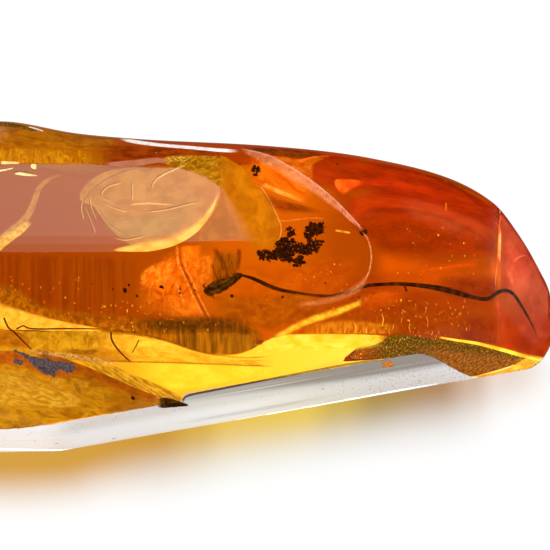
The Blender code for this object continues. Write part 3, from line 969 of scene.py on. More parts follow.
DISC_MIDDLE = (150, 207)
DISC_SIZE = (70.5, 41)      # half width and half height before it is turned
DISC_TURN = -9.0
DISC_RIM = (-172, -60)      # the stretch of its rim that shows, in degrees
DISC_RIM_POINTS = 14
DISC_FILL = (
    (79, 196, 199), (81, 191, 201), (86, 184, 204), (93, 178, 206), (101, 173, 217), (112, 169, 231),
    (125, 166.8, 242), (140, 165.5, 250), (158, 165.2, 249), (178, 166.5, 243.5), (196, 170, 232),
    (208, 175, 221), (216, 182, 209), (220.5, 190, 198),
)
# The bright crescent on the disc: a painted reflection.
DISC_REFLECTION = (
    (112, 249, 251), (133, 242.5, 252), (149, 238.5, 251.8), (166, 235, 248.5), (181, 229, 243),
    (198, 219, 231.5), (211, 204, 214), (220, 188, 192),
)
# Wrinkles on the disc, drawn as dark lines of painted shade with pale lines of painted highlight beside them.
DISC_DARK = (
    ((122, 181.5), (109, 185), (102.5, 190), (101, 194.5), (105, 198), (112, 201)),
    ((101, 201), (112, 206.5), (127, 211)), ((144, 211.5), (167, 208.5), (187, 203.5), (200, 201)),
    ((83, 204), (88, 215), (95, 233)), ((89, 194), (90.5, 207), (96, 219)),
    ((99, 208), (108, 222), (122, 234)), ((152, 190), (152, 183.5), (156, 178), (165, 172.5), (176, 168)),
    ((131.6, 181), (131.6, 200)), ((82, 199), (80.5, 208), (83, 219)), ((112, 236), (125, 239), (145, 235)),
)
DISC_FOLD = ((128, 205), (145, 203.5), (160, 204), (178, 205.5))
DISC_PANE = ((134, 184, 203), (140, 183, 203), (147, 184, 203))
DISC_HAZE = ((100, 215, 228), (125, 213, 242), (150, 213, 240), (175, 210, 234), (198, 205, 222))
CHIP_GOLD = (
    (159, 160, 162), (168, 156.5, 166.5), (176, 153.5, 170), (186, 151.5, 173.5), (196, 150.5, 177),
    (206, 151, 182), (214, 152.5, 189), (221, 154.5, 196), (227, 158, 196), (232, 164, 190),
)
CHIP_FLECKS = ((160, 158.5, 162), (172, 155, 163), (184, 154, 164), (194, 155, 161))
# LEFT_GLINT, LEFT_LENS, LEFT_LINE and LEFT_EDGE are painted glints at the left end of the window.
LEFT_GLINT = ((30.5, 165.5, 167), (33, 163.5, 169), (36.5, 164.5, 169.5))
LEFT_LENS = ((14, 173.6, 174.2), (19, 172.4, 175), (26, 173.2, 176), (38, 175.6, 176.2))
LEFT_HAZE = ((10, 171, 172), (18, 169.5, 173), (28, 170.5, 174.5), (36, 174, 176))
LEFT_LINE = ((-2, 171), (6, 169.8), (14, 167.8))
LEFT_EDGE = ((0, 161, 164.5), (12, 161.5, 164), (20, 162, 163.6))
CHIP_EDGE = ((156, 179.5), (166, 173.5), (176, 169), (187, 164))
GOLD_DISC = (
    (219, 154, 188), (228, 157, 216), (238, 163, 240), (249, 173, 256), (258, 184, 264), (266, 196, 262),
    (273, 208, 256), (280, 222, 238),
)
GOLD_DISC_RIM = ((252, 176), (261, 187), (269, 199), (276, 213), (281, 226), (280, 237), (275, 245))
DISC_BACK = (
    (198, 233, 241), (208, 221, 242), (217, 207, 242), (222, 192, 242), (230, 190, 242), (240, 205, 242),
    (254, 230, 241),
)


def stress_discs(sight):
    sheets = Sheets(sight)
    sheets.zone(DISC_FILL, 2.2, "tan disc", (206, 142, 70), (226, 172, 96), 0.62, 0.62, (5, 7),
                soft=(0.03, 0.02, 0.03, 0.02), bulge=0.3)
    sheets.zone(DISC_HAZE, 2.15, "grey disc haze", (186, 146, 84), (206, 168, 104), 0.55, 0.55, (6, 5),
                soft=(0.3, 0.3, 0.3, 0.3))
    sheets.zone(DISC_PANE, 2.1, "disc pane", (216, 160, 88), (230, 180, 108), 0.4, 0.65, (40, 3),
                soft=(0.1, 0.1, 0.1, 0.2))
    sheets.zone(DISC_REFLECTION, 2.05, "disc crescent", (240, 176, 60), (254, 218, 118), 0.92, 0.95, (6, 12),
                soft=(0.06, 0.1, 0.6, 0.06))
    rim = []
    c, s = math.cos(math.radians(DISC_TURN)), math.sin(math.radians(DISC_TURN))
    for angle in np.linspace(*np.radians(DISC_RIM), DISC_RIM_POINTS):
        x, y = DISC_SIZE[0] * math.cos(angle), DISC_SIZE[1] * math.sin(angle)
        rim.append((DISC_MIDDLE[0] + x * c - y * s, DISC_MIDDLE[1] + x * s + y * c))
    sheets.line(rim, 1.6, 2.0, "disc rim", (150, 98, 60), (186, 132, 82), 0.6, 0.35, (20, 20),
                soft=(0.2, 0.2, 0.3, 0.3))
    # Painted shade in the wrinkles, and painted highlight beside them, on the fold, the gold disc's rim and
    # the chip's edge.
    groove = veil("painted wrinkle shade", (120, 76, 40), (168, 112, 62), 0.75, 0.35, (40, 40),
                  soft=(0.15, 0.15, 0.25, 0.25), gaps=0.2)
    highlight_line = veil("painted highlight line", (232, 184, 108), (250, 214, 144), 0.65, 0.82, (30, 30),
                 soft=(0.15, 0.15, 0.3, 0.3))
    sheets.ribbon(DISC_FOLD, 4.0, 2.0, highlight_line, taper=(0.4, 0.9))
    for line in DISC_DARK:
        sheets.ribbon(line, 1.5, 1.95, groove)
        sheets.ribbon([(column + 1.0, row + 1.2) for column, row in line], 1.5, 2.0, highlight_line)
    sheets.zone(DISC_BACK, 2.5, "disc shade", (184, 108, 26), (206, 130, 40), 0.85, 0.6, (6, 6),
                soft=(0.03, 0.1, 0.03, 0.12))
    sheets.zone(GOLD_DISC, 2.4, "gold disc", (190, 114, 8), (228, 152, 22), 0.86, 0.68, (6, 5), (0.3, 0.7),
                soft=(0.02, 0.04, 0.03, 0.45), warp=0.5)
    sheets.ribbon(GOLD_DISC_RIM, 1.8, 2.3, highlight_line, taper=(0.6, 0.6))
    sheets.zone(CHIP_GOLD, 0.7, "olive gold chip", (128, 88, 4), (224, 160, 28), 0.92, 0.66, (10, 24),
                (0.34, 0.68), 6.0, soft=(0.1, 0.3, 0.08, 0.25), turn=-28, warp=1.6, ragged=0.05)
    sheets.zone(CHIP_FLECKS, 0.65, "gold flecks", (120, 80, 6), (255, 214, 90), 0.9, 0.8, (46, 60),
                (0.42, 0.6), 4.0, soft=(0.2, 0.3, 0.2, 0.3), gaps=0.4, ragged=0.06, step=1.5)
    sheets.ribbon(CHIP_EDGE, 1.8, 0.7, highlight_line)
    pale = veil("pale glint", (246, 202, 110), (255, 238, 168), 0.92, 0.95, (20, 20),
                soft=(0.1, 0.1, 0.1, 0.1))
    for outline in (LEFT_GLINT, LEFT_LENS, LEFT_EDGE):
        sheets.patch(outline, 0.3, pale, step=1.0)
    sheets.ribbon(LEFT_LINE, 1.8, 0.3, pale, taper=(0.0, 0.7))
    sheets.zone(LEFT_HAZE, 0.35, "brown haze", (112, 66, 40), (150, 96, 62), 0.6, 0.4, (10, 10),
                soft=(0.2, 0.2, 0.3, 0.3), step=1.5)
    sheets.make("stress_discs", "fracture")


# ---------------------------------------------------------------- chipped corner at the lower left

WEDGE = ((0, 350, 430), (35, 356, 426), (79, 367, 419), (123, 384, 412), (158, 398, 407), (172, 402, 406))
WEDGE_EDGE = ((30, 357), (79, 373.5), (110, 385), (140, 396.5), (162, 402))
WEDGE_LIGHT = ((0, 366, 409), (20, 368, 410), (45, 380, 411), (68, 390, 409), (90, 396, 407))
RUSTY_RIM = ((0, 350, 368), (20, 351, 369), (40, 360, 377), (60, 366, 380), (86, 370, 378))
WEDGE_DARK = ((95, 393, 415), (112, 392, 412), (128, 394, 410), (145, 397.5, 408), (158, 400, 407))
CRUST = (
    (9, 349.5, 351), (16, 350.5, 353), (24, 352.5, 357), (33, 355, 366), (40, 356.5, 373), (48, 357.5, 376),
    (55, 360, 373), (60, 360.5, 370.5), (66, 361, 373.5), (73, 362, 373.5), (78, 366, 371),
)
CRUST_TAIL = ((36, 364, 368), (44, 366, 374), (52, 368, 377), (57, 372, 378))
CRUST_LOBE = ((12, 360.5, 362), (16, 359, 365), (20, 359.5, 365.5), (24, 361, 363.5))
SMEAR = ((60, 350, 352.5), (72, 347.5, 355), (84, 348.5, 356.5), (96, 347, 355.5), (104, 350, 353))
DIAGONAL = (
    (76, 358, 366), (92, 360, 373), (104, 361.5, 379), (118, 366.5, 384), (134, 374.5, 391),
    (150, 380, 396.5), (168, 388.5, 402), (186, 400, 404),
)
CRUMBLY = (
    (22, 348, 351), (50, 350.5, 357.5), (76, 353.5, 361.5), (98, 356.5, 364), (118, 360, 368),
    (136, 365, 374),
)
TIP_CHIP = (
    (155, 400, 406), (160, 396.8, 408.3), (168, 397, 408.5), (176, 399.5, 407.5), (184, 402.6, 406.6),
    (190, 405, 406),
)
WEDGE_RIPPLES = (
    (((68, 377, 392), (77, 376, 398), (88, 379, 397)), 62),
    (((44, 374, 386), (54, 373, 390), (66, 378, 388)), 120),
    (((8, 376, 392), (26, 372, 394), (44, 378, 392)), 35),
    (((101, 391, 402), (106, 390, 403), (111, 392, 402)), 70),
)


def chipped_corner(sight):
    sheets = Sheets(sight)
    sheets.zone(DIAGONAL, 0.5, "scuffed gold", (156, 102, 10), (234, 182, 46), 0.88, 0.7, (9, 40),
                (0.35, 0.68), 7.0, soft=(0.1, 0.05, 0.1, 0.03), turn=32, ragged=0.03)
    sheets.zone(WEDGE, 0.5, "wedge gold", (146, 90, 4), (204, 146, 20), 0.92, 0.7, (5, 14), (0.3, 0.7), 6.0,
                soft=(0, 0.04, 0.04, 0.02), turn=12, warp=1.2)
    sheets.zone(WEDGE_LIGHT, 0.45, "wedge light", (178, 124, 14), (222, 176, 54), 0.75, 0.8, (7, 20),
                (0.35, 0.65), 6.0, soft=(0, 0.3, 0.25, 0.15), turn=14, warp=1.5)
    sheets.zone(WEDGE_DARK, 0.43, "wedge shade", (146, 80, 2), (178, 106, 6), 0.6, 0.55, (7, 16),
                soft=(0.35, 0.1, 0.3, 0.05))
    sheets.zone(RUSTY_RIM, 0.3, "rusty rim", (164, 66, 10), (206, 104, 22), 0.8, 0.55, (14, 18),
                soft=(0, 0.3, 0.1, 0.45), warp=0.8)
    sheets.line(WEDGE_EDGE, 20.0, 0.35, "red edge", (142, 62, 2), (180, 90, 6), 0.9, 0.55, (8, 12),
                soft=(0.1, 0.08, 0.06, 0.75), taper=(-0.1, 0.5))
    for outline, turn in WEDGE_RIPPLES:
        sheets.zone(outline, 0.4, "shell ripples", (148, 90, 6), (224, 172, 56), 0.4, 0.7, (4, 40),
                    (0.4, 0.62), 3.0, soft=(0.4, 0.4, 0.4, 0.4), turn=turn, warp=1.2, step=1.5)
    crust = veil("grey crust", (54, 43, 45), (104, 91, 92), 0.98, 0.45, (42, 36), (0.3, 0.75), 7.0,
                 soft=(0.02, 0.02, 0.04, 0.04), ragged=0.12)
    for outline in (CRUST, CRUST_TAIL, CRUST_LOBE):
        sheets.patch(outline, -0.01, crust, step=1.0, rough=0.7)
    sheets.zone(SMEAR, 0.4, "olive smear", (120, 74, 4), (176, 118, 12), 0.8, 0.45, (14, 30), detail=6.0,
                soft=(0.2, 0.2, 0.35, 0.35), ragged=0.12)
    sheets.zone(CRUMBLY, 0.2, "crumbly edge", (140, 88, 14), (255, 226, 150), 0.75, 0.7, (34, 40),
                (0.4, 0.62), 6.0, soft=(0.1, 0.3, 0.3, 0.4), gaps=0.5, turn=15, ragged=0.08)
    sheets.zone(TIP_CHIP, -0.014, "dark chip", (30, 15, 3), (112, 66, 14), 0.97, 0.35, (34, 30),
                (0.45, 0.7), 6.0, soft=(0.2, 0.06, 0.1, 0.06), ragged=0.06, step=1.5)
    sheets.make("chipped_corner", "fracture")


# ---------------------------------------------------------------- insect, thread, debris and specks

LEAST_RINGS = 6
POLE = 0.6                  # how far a tube's rounded end stands out, as a share of its radius


class Solids(Parts):
    """Closed tubes and lumps."""

    def add(self, vertices, faces, material):
        first = len(self.vertices)
        self.vertices.extend(vertices)
        self.faces.extend([tuple(first + corner for corner in face) for face in faces])
        self.slots.extend([self.slot_of(material)] * len(faces))

    def tube(self, path, depth, radii, material, step=2.0, sides=10, rough=0.0, flat=1.0):
        """A tube along a path of (column, row), its radii in pixels spread evenly over the path."""
        line = even_path(path, step, LEAST_RINGS)
        shares = np.linspace(0, 1, len(line))
        depths = np.interp(shares, np.linspace(0, 1, len(depth)), depth)
        radius = np.interp(shares, np.linspace(0, 1, len(radii)), radii) * PIXEL * MM
        found = [(self.sight.at(c, r, d), size) for (c, r), d, size in zip(line, depths, radius)]
        places = np.array([place for place, size in found if place is not None])
        radius = np.array([size for place, size in found if place is not None])
        direction = unit(np.gradient(places, axis=0))
        side = unit(np.cross(direction, BACK))
        other = np.cross(direction, side)
        vertices = []
        for place, r, u, v in zip(places, radius, side, other):
            for turn in np.linspace(0, 2 * np.pi, sides, endpoint=False):
                swell = r * (1 + rough * self.random.uniform(-1, 1))
                vertices.append(place + u * math.cos(turn) * swell + v * math.sin(turn) * swell * flat)
        vertices.append(places[0] - direction[0] * radius[0] * POLE)
        vertices.append(places[-1] + direction[-1] * radius[-1] * POLE)
        self.add(vertices, ring_faces(len(places), sides), material)

    def lump(self, column, row, depth, radius, material, stretch=(1.0, 1.0, 1.0), rough=0.35):
        """An irregular crumb, its radius in pixels."""
        place = self.sight.at(column, row, depth)
        if place is None:
            return
        vertices = []
        for corner in CRUMB_CORNERS:
            reach = radius * PIXEL * MM * (1 + rough * self.random.uniform(-1, 1))
            vertices.append(np.array(place) + corner * reach * np.array(stretch))
        self.add(vertices, CRUMB_FACES, material)

    def finish(self, mesh):
        turn_outward(mesh)


def crumb():
    """Corners and faces of a round body with 42 corners."""
    bm = bmesh.new()
    bmesh.ops.create_icosphere(bm, subdivisions=2, radius=1.0)
    bm.verts.ensure_lookup_table()
    corners = [np.array(vertex.co) for vertex in bm.verts]
    faces = [tuple(vertex.index for vertex in face.verts) for face in bm.faces]
    bm.free()
    return corners, faces


CRUMB_CORNERS, CRUMB_FACES = crumb()


def organic(name, dark, light, glow=0.25, grain=4000.0, alpha=1.0, roughness=0.5):
    """Dull plant or insect matter, mottled between two colours, that glows with its colour by glow: painted
    light.
    """
    material, nodes = new_material(name)
    pattern = nodes.noise(nodes.position, grain, 4.0, 0.7)
    colour = nodes.mixed(pattern.ramp(0.4, 0.66), linear(*dark), linear(*light))
    bump = nodes.add("ShaderNodeBump", inputs={"Strength": 0.5, "Distance": 0.00003, "Height": pattern})
    shader = nodes.add("ShaderNodeBsdfPrincipled", inputs={
        "Base Color": colour, "Roughness": roughness, "Specular IOR Level": 0.1, "Alpha": alpha,
        "Normal": bump["Normal"], "Emission Color": colour, "Emission Strength": glow})
    nodes.output(shader["BSDF"])
    return material


BODY_PATH = ((204.5, 291), (210, 290.5), (216, 287.5), (225, 283), (234, 278), (242, 274.5))
BODY_RADII = (2.2, 4.8, 6.2, 5.6, 6.6, 7.2, 6.4, 6.7, 5.9, 6.0, 5.2, 4.9, 3.8, 3.1, 1.6)
BODY_DEPTH = (2.3, 2.1)
WING = (
    (211, 268, 284), (215, 252, 282), (222, 246, 279), (230, 246, 277), (238, 246, 275), (244, 250, 272),
)
WING_VEINS = (
    (((214, 246), (219, 257), (224, 267), (226.5, 277)), 8.0), (((239, 247), (239, 258), (237, 271)), 7.0),
    (((231, 250), (229, 261), (232, 275)), 2.4), (((212, 263), (215, 273), (219, 281)), 3.0),
)
LEGS = (((214, 292), (212.5, 296.5), (215, 298.5)), ((205, 288), (203.5, 285), (206, 283)))
SHELL_GLINTS = (
    (((206, 287), (214, 284.5), (224, 281), (234, 276.5)), 4.0),
    (((209, 293), (217, 290.5), (226, 285), (235, 279)), 3.0),
)


def insect(sight):
    body = Solids(sight, 11)
    shell = organic("insect shell", (32, 17, 1), (100, 60, 6), 0.45, 3600.0)
    body.tube(BODY_PATH, BODY_DEPTH, BODY_RADII, shell, step=0.8, sides=24, rough=0.12, flat=0.7)
    for leg in LEGS:
        body.tube(leg, (1.8, 1.7), (0.9, 0.6, 0.4), shell, step=1.0, sides=6, rough=0.1)
    body.make("insect_body", "inclusion")
    wings = Sheets(sight)
    film = veil("insect wing", (126, 60, 2), (198, 112, 8), 0.7, 0.5, (34, 4), (0.35, 0.7), 6.0,
                soft=(0.3, 0.25, 0.3, 0.0), turn=-8, warp=0.5, ragged=0.08)
    wings.patch(WING, 1.85, film, bulge=-0.15, step=1.5)
    wings.patch([(column - 3, upper + 4, lower) for column, upper, lower in WING[1:]], 2.2, film,
                bulge=0.15, step=1.5)
    vein = veil("wing vein", (120, 42, 1), (164, 66, 3), 0.8, 0.4, (20, 8), soft=(0.2, 0.15, 0.45, 0.45))
    for line, width in WING_VEINS:
        wings.ribbon(line, width, 1.8, vein, step=1.0)
    glint = veil("shell glint", (96, 58, 5), (200, 134, 20), 0.6, 0.55, (50, 50), (0.45, 0.6),
                 soft=(0.2, 0.2, 0.3, 0.3), gaps=0.5)
    for line, width in SHELL_GLINTS:
        wings.ribbon(line, width, 1.7, glint, step=1.0)
    wings.make("insect_wings", "inclusion")


THREAD = (
    (241, 275), (250, 277.5), (260, 281.6), (268, 285.4), (280, 289.8), (300, 293.5), (318, 295.5),
    (335, 295.5), (350, 291), (366, 286), (382, 284.5), (400, 284), (420, 285.5), (440, 288.5),
    (456, 292.5), (470, 296.5), (483, 299), (490, 298), (497, 293), (504, 290.5), (511, 292.5), (517, 299),
    (525, 312), (532, 325), (537, 336.5),
)
THREAD_RADII = (
    1.2, 1.9, 2.1, 1.9, 1.7, 1.5, 1.4, 1.4, 1.5, 1.6, 1.7, 1.8, 1.9, 2.1, 2.5, 2.9, 2.7, 2.1, 2.0, 2.1, 2.2,
    2.0, 1.7, 1.3, 0.6,
)
THREAD_DEPTH = (1.9, 1.8, 1.7, 1.6, 1.3, 0.6, 0.35, 0.3)


def thread(sight):
    strand = Solids(sight, 12)
    stuff = organic("dark thread", (44, 14, 2), (104, 50, 8), 0.4, 2200.0)
    strand.tube(THREAD, THREAD_DEPTH, THREAD_RADII, stuff, step=1.5, sides=12, rough=0.06)
    strand.make("thread", "inclusion")


CLUMP_SPREAD = 0.55         # 0.5 strews crumbs evenly, and more gathers them in the middle
# Clumps of debris: column and row of the middle, half width and half height, crumbs.
CLUMPS = (
    (261, 254.5, 4, 5, 26), (268, 256, 6, 5.5, 40), (276, 254, 6, 6, 44), (282, 248, 8, 9, 90),
    (289, 247, 8, 9, 90), (287, 256, 8, 6, 60), (297, 262, 6, 5, 34), (301, 261, 4, 4, 18),
    (300, 248.5, 6, 6, 50), (307, 251, 5, 5, 30), (312, 247.5, 6, 5.5, 30), (317, 244, 5, 5, 20),
    (321.5, 241, 2, 2, 5), (290.5, 232.5, 4, 4, 26), (289, 228.5, 2.5, 2, 10), (310, 232, 6, 8, 52),
    (316, 228, 7, 7, 48), (322, 228, 4, 5, 16), (309, 240, 4, 3, 14), (255.5, 169.5, 4, 3, 26),
    (256, 174, 2, 2, 8), (363.5, 233, 2.6, 2.4, 14),
)
SPLINTER_EVERY = 9
SPECKS = (
    (129, 285, 1.1), (125, 290, 1.8), (137, 296, 1.5), (161, 287, 1.9), (163, 288, 1.0), (180, 289, 1.1),
    (180, 293, 0.9), (195, 290, 1.0), (192, 284, 0.7), (113, 289, 0.9), (92, 284, 0.8), (232, 296, 1.8),
    (282.5, 297, 1.2), (325.5, 283, 1.1), (406, 290, 1.2), (405, 287.5, 0.9), (133, 398, 1.6),
    (131.5, 396, 1.0), (12, 378, 1.4), (14, 376.5, 1.0), (352, 298, 0.8), (356, 301, 0.9), (359, 297, 0.7),
    (363, 300, 0.9), (367, 296, 0.8), (371, 298, 0.6), (362, 304, 0.7), (374, 293, 0.7), (355, 305, 0.6),
    (337, 164, 0.9), (240, 164, 0.9), (303, 258, 0.9),
)
HAIRS = (
    (((4, 318), (8, 327), (14, 332), (20, 338), (31, 349)), 0.9, 0.15),
    (((111, 332), (111.5, 339), (116, 347), (122, 354), (130, 361.5)), 0.9, 0.15),
    (((139, 340), (136, 346), (132, 353)), 0.6, 0.15),
    (((16.5, 329), (20, 327), (24, 325.8), (28, 328), (40, 329), (70, 328.6), (100, 329)), 0.75, 0.2),
)


def debris(sight):
    bits = Solids(sight, 13)
    random = bits.random
    stuff = organic("plant debris", (34, 12, 2), (98, 44, 10), 0.4, 5200.0)
    for column, row, width, height, count in CLUMPS:
        for i in range(count):
            turn, reach = random.uniform(0, 2 * math.pi), random.uniform(0, 1) ** CLUMP_SPREAD
            c, s = math.cos(turn), math.sin(turn)
            x, y = column + width * reach * c, row + height * reach * s
            if i % SPLINTER_EVERY == 0:
                length = random.uniform(1.5, 3.5)
                splinter = ((x, y), (x + c * length, y + s * length))
                bits.tube(splinter, (2.0, 2.0), (0.5, 0.3), stuff, step=1.0, sides=5)
            stretch = random.uniform(0.5, 1.5, 3)
            bits.lump(x, y, random.uniform(1.7, 2.6), random.uniform(0.6, 1.7), stuff, stretch, 0.5)
    bits.make("plant_debris", "inclusion")
    specks = Solids(sight, 14)
    dark = organic("dark specks", (40, 10, 2), (70, 24, 4), 0.2)
    for column, row, radius in SPECKS:
        depth = specks.random.uniform(0.3, 0.9)
        specks.lump(column, row, depth, radius, dark, specks.random.uniform(0.7, 1.3, 3))
    specks.make("specks", "inclusion")
    hairs = Solids(sight, 15)
    stuff = organic("brown hair", (84, 30, 4), (128, 58, 8), 0.3)
    for path, radius, depth in HAIRS:
        hairs.tube(path, (depth, depth), (radius, radius, radius * 0.7), stuff, step=1.5, sides=8, rough=0.08)
    hairs.make("hairs", "inclusion")


# Where bright flecks are strewn, their brightness a painted glint: columns, rows, count, length in pixels,
# depth.
FLECK_ZONES = (
    ((395, 470), (300, 338), 60, 2.2, (0.4, 2.5)), ((330, 400), (305, 332), 24, 1.6, (0.4, 1.5)),
    ((395, 480), (225, 280), 34, 1.5, (0.5, 3.0)), ((100, 165), (300, 332), 40, 1.5, (0.4, 2.0)),
    ((10, 95), (275, 322), 34, 1.6, (0.4, 2.0)), ((300, 350), (262, 292), 12, 1.2, (0.5, 2.5)),
    ((130, 250), (318, 334), 40, 1.4, (0.3, 1.2)), ((140, 160), (150, 153), 3, 1.2, (0.3, 0.6)),
    ((345, 440), (336, 358), 60, 1.2, (0.05, 0.11)),
)
# Longer flecks, bright with the same painted glint: path, radius in pixels, depth.
FLECKS = (
    (((336, 230.4), (349.6, 232.7)), 1.1, 1.0), (((446, 203), (446, 210)), 0.9, 0.5),
    (((382, 315), (383.4, 319), (382.2, 326)), 0.5, 0.5),
    (((354.5, 323), (356, 327.5), (355.4, 331.5)), 0.35, 0.4), (((367, 327), (366.2, 333.5)), 0.3, 0.4),
    (((345.5, 328), (344.6, 333)), 0.3, 0.4), (((374, 329), (375.6, 334)), 0.3, 0.4),
    (((394, 324), (392.8, 328.5)), 0.35, 0.4), (((361, 330), (359.8, 333.8)), 0.25, 0.4),
    (((388.6, 331), (390, 335)), 0.3, 0.4), (((402, 318), (401, 322.5)), 0.3, 0.4),
    (((409, 326), (410.4, 333)), 0.35, 0.4), (((426.5, 317), (428, 321.5), (427.4, 327)), 0.4, 0.5),
    (((433, 331), (431.6, 335)), 0.3, 0.4), (((500, 209), (500, 213)), 1.2, 0.1),
)


# Flecks in the stone whose bright glow is a painted glint.
def flecks(sight):
    glints = Solids(sight, 16)
    bright = organic("golden flecks with painted glint", (205, 110, 10), (255, 206, 70), 0.9, 900.0, roughness=0.2)
    within = glints.random.uniform
    for columns, rows, count, length, depths in FLECK_ZONES:
        for _ in range(count):
            size = within(0.25, 0.6)
            stretch = (1.0, 1.0, within(1.0, length * 1.6))
            glints.lump(within(*columns), within(*rows), within(*depths), size, bright, stretch)
    for path, radius, depth in FLECKS:
        glints.tube(path, (depth, depth), (radius, radius), bright, step=1.5, sides=6)
    glints.make("golden_flecks_and_glints", "fracture")


# ---------------------------------------------------------------- scuffs and painted highlights on the surface

WORN_EDGE = (
    (232, 147, 149), (240, 148, 152), (255, 151, 160), (267, 154.6, 166), (285, 163.5, 177),
    (300, 172.5, 187), (312, 181, 194), (325, 191.5, 203), (338, 203, 212), (346, 211, 219),
    (352, 217, 224), (363, 230, 232),
)
WORN_EDGE_HATCH = ((310, 180, 192), (325, 191.5, 199), (338, 203, 210), (352, 217, 223), (363, 230, 232))
WORN_EDGE_LINE = (
    (238, 148), (267, 155), (289, 166.3), (312, 181.4), (334, 199.4), (352, 217.5), (363, 230.5),
)
WORN_EDGE_TAIL = ((361, 230), (368, 240), (371, 252), (371, 262), (368, 274), (360, 285), (344, 295))
WORN_EDGE_LOW = (
    (292, 303, 306), (310, 300, 307), (330, 296, 304), (345, 290, 300), (358, 281, 294), (369, 270, 282),
)
# A painted white highlight along the crest.
CREST_HIGHLIGHT = (
    (118, 138, 139.5), (135, 140, 144), (160, 143.4, 147), (190, 146, 149.5), (214, 148, 151.8),
    (228, 149, 152.8), (240, 150.2, 152.6),
)
WINDOW_RIM = ((104, 162.6, 165.5), (120, 161, 166.5), (140, 159, 166), (158, 157.6, 163), (170, 161, 165))
TOP_OLIVE = ((0, 122, 127), (12, 123, 128), (26, 126, 130), (40, 129.5, 132))
NOTCH_GLINT = ((28, 127), (35, 128.6), (44, 131.6))
END_SKIN = (
    (498, 300, 343), (506, 308, 348.5), (515, 320, 352), (524, 332, 355), (533, 340, 357.6),
    (541, 341, 358.6), (549, 334, 350), (556, 332, 342),
)
BAND_DARK = (
    (182, 403), (187.5, 396), (215, 390), (245, 384), (275, 378), (330, 367.5), (370, 360.8), (392, 359.3),
)
BAND_LOW = (
    (-6, 449), (40, 450), (70, 449.5), (110, 443), (150, 436), (200, 427.5), (255, 417), (320, 405),
    (390, 392), (450, 381.5),
)
BAND_CHIP = ((382, 362, 366.5), (388, 361, 367.5), (394, 362, 366))


def scuffs(sight):
    sheets = Sheets(sight)
    sheets.zone(WORN_EDGE, -0.012, "worn edge", (200, 104, 48), (232, 158, 108), 0.55, 0.6, (9, 14),
                (0.3, 0.7), 6.0, soft=(0.08, 0.1, 0.06, 0.3), warp=1.0, turn=32, ragged=0.08, step=2.0)
    sheets.zone(WORN_EDGE_HATCH, -0.014, "worn hatch", (190, 84, 40), (232, 160, 124), 0.45, 0.55,
                (34, 1.2), (0.4, 0.6), soft=(0.2, 0.1, 0.1, 0.35), follow="span", step=1.5)
    sheets.line(WORN_EDGE_LINE, 2.0, -0.014, "worn line", (222, 140, 110), (250, 206, 180), 0.6, 0.7,
                (60, 1), (0.35, 0.7), soft=(0.1, 0.05, 0.3, 0.3), gaps=0.2, follow="span")
    sheets.zone(WORN_EDGE_LOW, -0.012, "scuffed edge", (206, 98, 32), (234, 160, 106), 0.42, 0.45, (50, 3),
                (0.4, 0.7), soft=(0.2, 0.1, 0.3, 0.3), follow="span", step=2.0)
    sheets.line(WORN_EDGE_TAIL, 2.2, -0.012, "edge line", (216, 110, 50), (250, 190, 120), 0.55, 0.65,
                (14, 1), soft=(0.1, 0.3, 0.35, 0.35), gaps=0.2, follow="span", step=2.0)
    # Painted white highlight, for the crest and for the glint at the notch.
    white = veil("painted white highlight", (225, 214, 205), (255, 252, 248), 0.9, 0.75, (30, 2),
                 soft=(0.1, 0.12, 0.1, 0.2), follow="span")
    sheets.patch(CREST_HIGHLIGHT, -0.015, white, step=2.0)
    sheets.zone(WINDOW_RIM, -0.012, "milky rim", (172, 104, 72), (188, 118, 88), 0.8, 0.45, (8, 8),
                soft=(0.12, 0.15, 0.1, 0.1), step=1.5)
    sheets.zone(TOP_OLIVE, -0.012, "weathered olive", (64, 52, 16), (168, 120, 48), 0.8, 0.4, (30, 30),
                (0.4, 0.7), 6.0, soft=(0, 0.15, 0.05, 0.3), ragged=0.05, step=1.5)
    sheets.ribbon(NOTCH_GLINT, 1.8, -0.014, white, taper=(0.5, 0.5), step=1.0)
    sheets.zone(END_SKIN, -0.012, "end depth", (158, 38, 3), (184, 54, 7), 0.6, 0.6, (5, 4),
                soft=(0.2, 0, 0.35, 0.03), step=2.0)
    sheets.line(BAND_DARK, 2.8, -0.01, "dark edge", (52, 34, 6), (96, 66, 16), 0.85, 0.15, (40, 1),
                soft=(0.02, 0.1, 0.2, 0.3), gaps=0.2, follow="span")
    sheets.line(BAND_LOW, 1.8, -0.012, "bright edge", (226, 232, 250), (255, 255, 255), 0.85, 0.9, (30, 1),
                soft=(0.02, 0.1, 0.3, 0.2), follow="span")
    sheets.zone(BAND_CHIP, -0.012, "orange chip", (150, 78, 14), (224, 140, 60), 0.95, 0.5, (14, 3),
                soft=(0.1, 0.1, 0.1, 0.1), follow="span", step=1.0)
    sheets.make("scuffs", "fracture")


# ---------------------------------------------------------------- studio

# Soft glowing panels: azimuth (0 is in front, 90 to the right) and elevation of the middle, half width and
# half height as shares of a radius, radiance.
PANELS = (
    (191.5, 38.0, 0.13, 0.34, 1.97),
    (206.0, 24.0, 0.30, 0.30, 0.35),
    (312.0, 10.0, 0.34, 0.4, 11.5),
    (90.0, 5.0, 0.5, 0.35, 0.3),
    (260.0, 65.0, 0.4, 0.3, 0.5),
)


